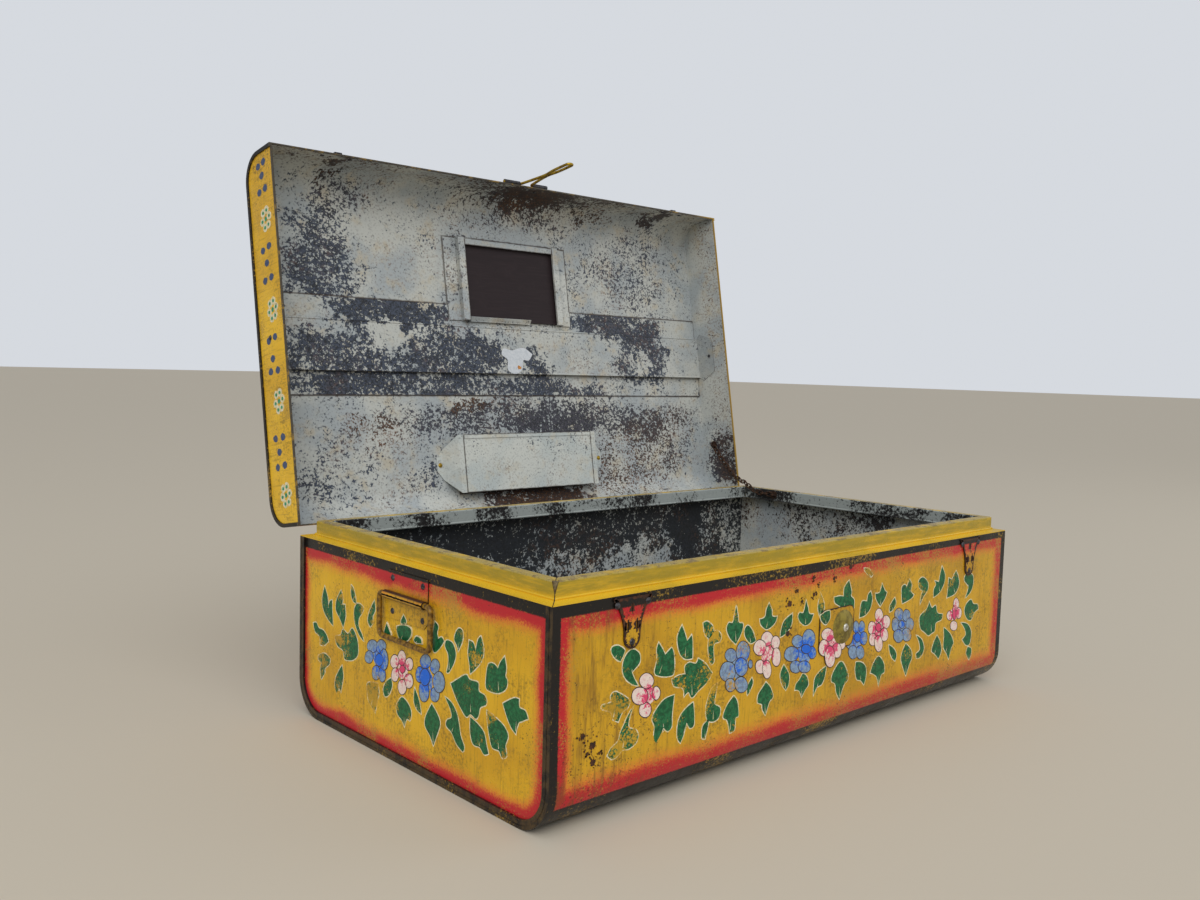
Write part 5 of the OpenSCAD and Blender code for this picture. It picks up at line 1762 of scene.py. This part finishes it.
@dataclass
class PaintedFlowers:
    """Flowers and leaves on the front, the back, the ends and the lid, and the marks that are made like them.

    Tired is how worn the worn leaves are. The blossom is half the length and height of a ring of petals. The
    back drop is how much lower the back's garland hangs. The plates have painted shadow and rust of a width
    along their edges.
    """

    tired: float = 0.6
    blossom: Point = (9.6, 8.4)
    back_drop: float = 4.0
    plates: tuple[tuple[str, Wall, float], ...] = (
        ("catch_plate_left", FRONT, 3.0), ("catch_plate_right", FRONT, 3.0), ("lock_plate", FRONT, 1.3),
        ("handle_plate_left", LEFT_END, 1.6), ("handle_plate_right", RIGHT_END, 1.6))

    def leaf_wear(self, worn: bool, rng: random.Random) -> float:
        """How much more than usual a leaf is rubbed off, drawn by chance unless it is a worn one."""
        return self.tired if worn else rng.uniform(0.0, 0.35)

    def lift(self, outline: Sequence[Point]) -> float:
        """Height of the lock plate where a shape of the front lies on it, and 0 elsewhere."""
        inside = all(abs(value - middle) < half for value, middle, half in zip(
            middle_of(outline), TRUNK.lock_plate_middle, TRUNK.lock_plate_half))
        return TRUNK.lock_plate_t if inside else 0.0

    def front(self, paints: Paints) -> None:
        """Paints the front wall.

        Args:
            paints: the materials in the order of the paints.
        """
        layer = PaintLayer(FRONT, "front_painting", 5)
        for sheet, leaves, worn in FRONT_LEAVES:
            for i, leaf in enumerate(leaves):
                outline = FRONT.drawn(sheet, leaf)
                layer.leaf(outline, self.lift(outline), self.leaf_wear(i in worn, layer.rng))
        for flower in FRONT_FLOWERS:
            sheet = flower.sheet
            lift = self.lift(FRONT.drawn(sheet, (flower.heart,)))
            layer.flower(flower, lambda point: FRONT.seen(sheet.pixel(point)), lift)
        for sheet, blots in ((TALL_SHEET, TALL_BLOTS), (LOW_SHEET, LOW_BLOTS)):
            for x, y, radius in blots:
                layer.blot(FRONT.seen(sheet.pixel((x, y))), radius / sheet.scale, 0.5)
        layer.done("base", paints)

    def garland(self, layer: PaintLayer, place: Callable[[Point], Point]) -> None:
        """Paints the front's leaves and flowers on another wall.

        Args:
            layer: the layer that takes them.
            place: turns a point of the front into a point of that wall.
        """
        for sheet, leaves, _ in FRONT_LEAVES:
            for leaf in leaves:
                layer.leaf([place(point) for point in FRONT.drawn(sheet, leaf)])
        for flower in FRONT_FLOWERS:
            sheet = flower.sheet
            layer.flower(flower, lambda point: place(FRONT.seen(sheet.pixel(point))))

    def unseen(self, paints: Paints) -> None:
        """Paints the back and the top of the lid, which the photograph hides, with the same garland.

        Args:
            paints: the materials in the order of the paints.
        """
        layer = PaintLayer(long_wall(TRUNK.half_d, 1), "back_painting", 31)
        self.garland(layer, lambda point: (point[0], point[1] - self.back_drop))
        layer.done("base", paints)
        inner = lid_wall(TRUNK.lid_top)
        top = Wall(inner.start, inner.along, inner.upward, -inner.outward, lid=True)
        layer = PaintLayer(top, "lid_top_painting", 37)
        for way in (-1, 1):
            self.garland(layer, lambda point: (point[0] * way, -way * point[1]))
        layer.done("lid", paints)

    def ends(self, paints: Paints) -> None:
        """Paints both end panels; the right one has the left one's flowers turned round.

        Args:
            paints: the materials in the order of the paints.
        """
        for wall, name in ((LEFT_END, "end_painting_left"), (RIGHT_END, "end_painting_right")):
            layer = PaintLayer(wall, name, 11)
            for i, leaf in enumerate(END_LEAVES):
                tired = self.leaf_wear(i in END_WORN, layer.rng)
                layer.leaf(LEFT_END.drawn(END_SHEET, leaf), 0.0, tired)
            for leaf in PLATE_LEAVES:
                layer.leaf(LEFT_END.drawn(END_SHEET, leaf), TRUNK.handle_plate_t)
            for flower in END_FLOWERS:
                layer.flower(flower, lambda point: LEFT_END.seen(END_SHEET.pixel(point)))
            layer.done("base", paints)

    def lid_ends(self, paints: Paints) -> None:
        """Paints the row of small flowers and dots on both ends of the lid.

        Args:
            paints: the materials in the order of the paints.
        """
        left = end_wall(-TRUNK.lid_end, True)
        right = Wall(Vector((-left.start.x, left.start.y, left.start.z)), left.along, left.upward, RIGHT)
        for wall, name in ((left, "lid_end_painting_left"), (right, "lid_end_painting_right")):
            layer = PaintLayer(wall, name, 23)
            for pixel in LID_DOTS:
                layer.dot(left.seen(pixel), 3.9, 0.12, Paint.SLATE, 1.35)
            for y, z in LID_BLOSSOMS:
                for k in range(6):
                    turn = math.radians(60 * k + 20)
                    petal = (y + self.blossom[0] * math.cos(turn), z + self.blossom[1] * math.sin(turn))
                    layer.dot(petal, 4.6, 0.12 + 0.02 * k, Paint.CREAM, 1.15)
                    layer.dot(petal, 1.9, 0.30, Paint.MINT, 1.2)
                layer.dot((y, z), 2.6, 0.30, Paint.MINT)
            layer.done("lid", paints)

    def chip(self, paints: Paints) -> None:
        """Paints the chip of white filler on the stiffener.

        Args:
            paints: the materials in the order of the paints.
        """
        wall = lid_wall(TRUNK.stiffener)
        layer = PaintLayer(wall, "stiffener_chip", 41)
        layer.film(grown(rounded(wall.drawn(LID_SHEET, WHITE_CHIP)), 0.4, layer.rng), 0.15, Paint.WHITE)
        layer.blot(wall.seen(LID_SHEET.pixel(CHIP_STAIN)), 3.4, 0.25, Paint.ORANGE, 0)
        layer.done("lid", paints)

    def build(self) -> None:
        """Paints every decorated face."""
        paints = [decoration.material() for decoration in DECORATIONS]
        self.front(paints)
        self.ends(paints)
        self.lid_ends(paints)
        self.unseen(paints)
        self.chip(paints)
        for name, wall, width in self.plates:
            PlateShadeAndRust(name, wall, width).build(paints)


def dress(material: bpy.types.Material, *names: str) -> None:
    """Gives solids of the frame a material.

    Args:
        material: the finish.
        names: nodes that take it.
    """
    for name in names:
        slots = frame["nodes"][name].data.materials
        for i in range(len(slots)):
            slots[i] = material
        LOG.info("%s: %s", name, material.name)


@dataclass
class Body:
    """Outside and inside of the base and the lid: wraps, end panels and collar."""

    deep: Interior = Interior(wear=tint(20, 22, 26), slate=tint(36, 40, 47))
    # Painted light: a brighter copy of the yellow ground, given to both end panels of the base
    lit: Ground = Ground(light=tint(236, 186, 36), deep=tint(216, 164, 28))
    bright: Ground = Ground(light=tint(246, 198, 48), deep=tint(230, 180, 40))

    def build(self) -> None:
        """Dresses the panels."""
        end = BorderPaint(Side.END, WEAR.base_end, ground=self.lit, interior=self.deep)
        lid_end = BorderPaint(Side.LID_END, WEAR.lid_end, ground=self.bright)
        dress(BorderPaint(Side.WRAP, WEAR.rear, interior=self.deep).material(), "base_wrap")
        dress(end.material(), "base_end_left", "base_end_right")
        dress(BorderPaint(Side.LID_WRAP, WEAR.lid).material(), "lid_wrap")
        dress(lid_end.material(), "lid_end_left", "lid_end_right")
        dress(CollarPaint().material(), "collar_front", "collar_rear", "collar_left", "collar_right")


@dataclass
class LidFittings:
    """Stiffener, mirror frame and pocket inside the lid, and the angles under the collar."""

    light: Interior = Interior(pale=tint(204, 206, 200))
    clean: Interior = Interior(pale=tint(208, 211, 204), cool=tint(190, 198, 196), warm=tint(200, 196, 180))
    angles: Metal = Metal(
        "worn angles", tint(138, 124, 92), tint(94, 80, 58), tint(46, 36, 28), 0.0, 0.4, 5.0)

    def build(self) -> None:
        """Dresses the fittings."""
        dress(InsideEnamel("stiffener", WEAR.stiffener, STIFFENER).material(), *STIFFENER)
        dress(InsideEnamel("mirror frame", WEAR.frame, FRAME, self.light).material(),
              *FRAME, "mirror_frame_bottom")
        dress(InsideEnamel("pocket", WEAR.pocket, POCKET, self.clean).material(),
              *POCKET, "pocket_side_left", "pocket_side_right")
        dress(self.angles.material(), "collar_corner_angles")
        dress(Board().material(), "mirror_backing")


@dataclass
class Hardware:
    """Catches, lock, handles, hinges, clips and rivets.

    The leg is one half of the middle line of the hasp's wire: places to the right of its middle, and heights
    over the clips' axis with the lid closed and the hasp hanging.
    """

    brass: Metal = Metal("dull brass", tint(188, 156, 48), tint(138, 108, 34), tint(58, 40, 24), 0.55, 0.3)
    bail: Metal = Metal("painted rod", tint(150, 112, 32), tint(88, 62, 24), tint(30, 20, 14), 0.0, 0.28, 4.0)
    dark: Metal = Metal(
        "dark worn steel", tint(84, 84, 88), tint(46, 44, 46), tint(74, 46, 30), 0.5, 0.34, 3.0)
    rust: Metal = Metal("rusty iron", tint(70, 48, 34), tint(40, 30, 26), tint(118, 84, 58), 0.3, 0.6, 3.0)
    # The stud's near-white colour is partly its bare steel and partly a painted highlight
    stud: Metal = Metal("bright stud", tint(226, 224, 214), tint(170, 164, 146), tint(90, 80, 62), 0.7, 0.2)
    boss: Metal = Metal("olive boss", tint(150, 134, 54), tint(112, 98, 42), tint(62, 50, 30), 0.1, 0.32, 9.0)
    hasp_wire: float = 3.4
    leg: Outline = (
        (35.0, 0.0), (12.0, 0.0), (9.4, -0.4), (7.6, -2.6), (5.2, -17.0), (2.6, -33.0), (1.95, -41.0),
        (1.95, -47.0), (3.4, -54.0), (4.5, -62.0), (4.5, -85.8))

    def build(self) -> None:
        """Dresses the hardware."""
        across = (0, math.cos(TRUNK.turn), math.sin(TRUNK.turn))
        dress(BorderPaint(Side.WRAP, WEAR.rear, (0, 1, 0)).material(),
              "catch_plate_left", "catch_plate_right", "lock_plate", "hinge_base_leaves")
        dress(BorderPaint(Side.END, WEAR.base_end, (1, 0, 0)).material(),
              "handle_plate_left", "handle_plate_right")
        dress(BorderPaint(Side.LID_WRAP, WEAR.lid, across).material(), "hinge_lid_leaves")
        dress(self.stud.material(), "lock_stud")
        dress(self.dark.material(), "catch_plate_rivets", "handle_rivets", "hinge_pins", "hinge_base_rivets",
              "stiffener_rivets", "lid_catch_left", "lid_catch_right", "lid_catch_rivets", "hasp_clip_left",
              "hasp_clip_right", "hasp_clip_rivets", "hinge_lid_rivets")
        dress(self.bail.material(), "handle_bail_left", "handle_bail_right")
        dress(self.rust.material(), "chain_staple_base", "chain_staple_lid", "stay_chain")
        dress(self.boss.material(), "lock_boss")
        brass = self.brass.material()
        dress(brass, "pocket_rivets", "hasp_loop")
        self.hasp(brass)

    def hasp_route(self) -> list[Point]:
        """Middle line of the hasp's wire.

        Returns:
            Points of one leg, of the round end of the eye and of the other leg, in millimetres.
        """
        eye, tip = self.leg[-1]
        cap = [(eye * math.cos(turn), tip + eye * math.sin(turn))
               for turn in map(math.radians, (-30, -60, -90, -120, -150))]
        return [*self.leg, *cap, *((-x, z) for x, z in reversed(self.leg))]

    def hasp(self, brass: bpy.types.Material) -> None:
        """Bends the hasp from one smooth wire: legs in the clips, a pinched stem and a long eye.

        Args:
            brass: the wire's finish.
        """
        route = self.hasp_route()
        data = bpy.data.curves.new("hasp_wire", "CURVE")
        data.dimensions = "3D"
        data.bevel_depth, data.bevel_resolution = self.hasp_wire / 2 * MM, 5
        data.resolution_u, data.use_fill_caps = 6, True
        data.materials.append(brass)
        line = data.splines.new("NURBS")
        line.points.add(len(route) - 1)
        for point, (x, z) in zip(line.points, route):
            spot = TRUNK.opened(TRUNK.hasp_x + x, -TRUNK.half_d - TRUNK.hasp_out,
                                TRUNK.lid_low + TRUNK.hasp_up + z)
            point.co = (*spot, 1.0)
        line.order_u, line.use_endpoint_u = 3, True
        wire = added("hasp_wire", data)
        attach(wire, "hasp")
        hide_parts("hasp_loop")


@dataclass
class StayChain:
    """Rusty chain from the lid's right end over the rear corner of the collar, made in the open pose.

    Sizes are in millimetres, as the solids have them. The lid's staple is where the closed lid has it. Over
    are the points of the open chain's route. The bend's start and end are not applied.
    """

    lid_staple: Point3 = (350.8, 135.0, 229.0)
    base_staple: Point3 = (329.2, 129.0, 195.75)
    over: tuple[Point3, ...] = (
        (344.5, 236.0, 233.5), (338.5, 207.0, 214.0), (330.5, 180.0, 207.5), (325.5, 159.0, 198.5))
    bend_start: Point3 = (338.0, 183.0, 207.0)
    bend_end: Point3 = (338.0, 240.0, 240.0)
    hook: float = 1.8
    pitch: float = 8.4
    width: float = 8.0
    wire: float = 1.9
    play: float = 0.5
    twist: float = 30.0
    curve_steps: int = 12
    bow_steps: int = 9
    ring_steps: int = 8
    iron: Metal = Metal("chain iron", tint(84, 58, 40), tint(44, 34, 28), tint(118, 84, 58), 0.3, 0.6, 3.0)

    def route(self) -> list[Vector]:
        """Middle line of the open chain.

        Returns:
            Points of a smooth curve from the lid's staple to the base's staple, in millimetres.
        """
        lid, base = TRUNK.opened(*self.lid_staple) / MM, Vector(self.base_staple)
        inner = [Vector(point) for point in self.over]
        stops = [lid + (inner[0] - lid).normalized() * self.hook, *inner,
                 base + (inner[-1] - base).normalized() * self.hook]
        ends = [2 * stops[0] - stops[1], *stops, 2 * stops[-1] - stops[-2]]
        curve = []
        for a, b, c, d in zip(ends, ends[1:], ends[2:], ends[3:]):
            for share in (k / self.curve_steps for k in range(self.curve_steps)):
                curve.append(0.5 * (2 * b + (c - a) * share + (2 * a - 5 * b + 4 * c - d) * share ** 2
                                    + (3 * b - a - 3 * c + d) * share ** 3))
        return curve + [stops[-1]]

    def stations(self) -> list[Vector]:
        """Places between which the links lie.

        Returns:
            Points at even distances along the route, for an odd number of links.
        """
        curve = self.route()
        steps = [(b - a).length for a, b in zip(curve, curve[1:])]
        count = 2 * int(sum(steps) / self.pitch / 2) + 1
        found, passed, i = [curve[0]], 0.0, 0
        for k in range(1, count):
            goal = sum(steps) * k / count
            while passed + steps[i] < goal:
                passed += steps[i]
                i += 1
            found.append(curve[i].lerp(curve[i + 1], (goal - passed) / steps[i]))
        return found + [curve[-1]]

    def link(self, mesh: bmesh.types.BMesh, start: Vector, end: Vector, roll: float) -> None:
        """Adds one link: a wire bent to a long ring with a half circle at each end.

        Args:
            mesh: takes the link.
            start, end: its middle line.
            roll: its turn about that line, in degrees.
        """
        ahead = (end - start).normalized()
        level = Vector((-ahead.y, ahead.x, 0)).normalized()
        across = level * math.cos(math.radians(roll)) + ahead.cross(level) * math.sin(math.radians(roll))
        out, radius = ahead.cross(across), (self.width - self.wire) / 2
        straight = ((end - start).length + self.play + self.wire) / 2 - radius
        rings = []
        for way, first in ((1, -90), (-1, 90)):
            for k in range(self.bow_steps + 1):
                turn = math.radians(first + 180 / self.bow_steps * k)
                normal = ahead * math.cos(turn) + across * math.sin(turn)
                spot = (start + end) / 2 + ahead * straight * way + normal * radius
                round_wire = [normal * math.cos(a) + out * math.sin(a) for a in turns(self.ring_steps)]
                rings.append([mesh.verts.new((spot + side * self.wire / 2) * MM) for side in round_wire])
        for ring, following in zip(rings, rings[1:] + rings[:1]):
            for j, k in ((j, (j + 1) % self.ring_steps) for j in range(self.ring_steps)):
                mesh.faces.new((ring[j], following[j], following[k], ring[k])).smooth = True

    def build(self) -> None:
        """Makes the chain."""
        mesh = bmesh.new()
        spots = self.stations()
        for i, (start, end) in enumerate(zip(spots, spots[1:])):
            roll = 90 + 90 * (i % 2) + self.twist * math.sin(math.pi * i / (len(spots) - 2))
            self.link(mesh, start, end, roll)
        bmesh.ops.recalc_face_normals(mesh, faces=mesh.faces[:])
        data = bpy.data.meshes.new("chain_links")
        mesh.to_mesh(data)
        mesh.free()
        data.materials.append(self.iron.material())
        piece = added("chain_links", data)
        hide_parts("stay_chain")
        Vector(self.bend_start) * MM
        Vector(self.bend_end) * MM
        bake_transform(piece)
        LOG.info("chain_links: %d links", len(spots) - 1)


def main() -> None:
    """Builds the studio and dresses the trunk."""
    logging.basicConfig(level=logging.INFO)
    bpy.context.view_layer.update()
    STUDIO.build()
    for part in (Body(), LidFittings(), Hardware(), StayChain(), PaintedFlowers()):
        part.build()
        LOG.info("%s done", type(part).__name__)
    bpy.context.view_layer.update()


if __name__ == "__main__":
    main()
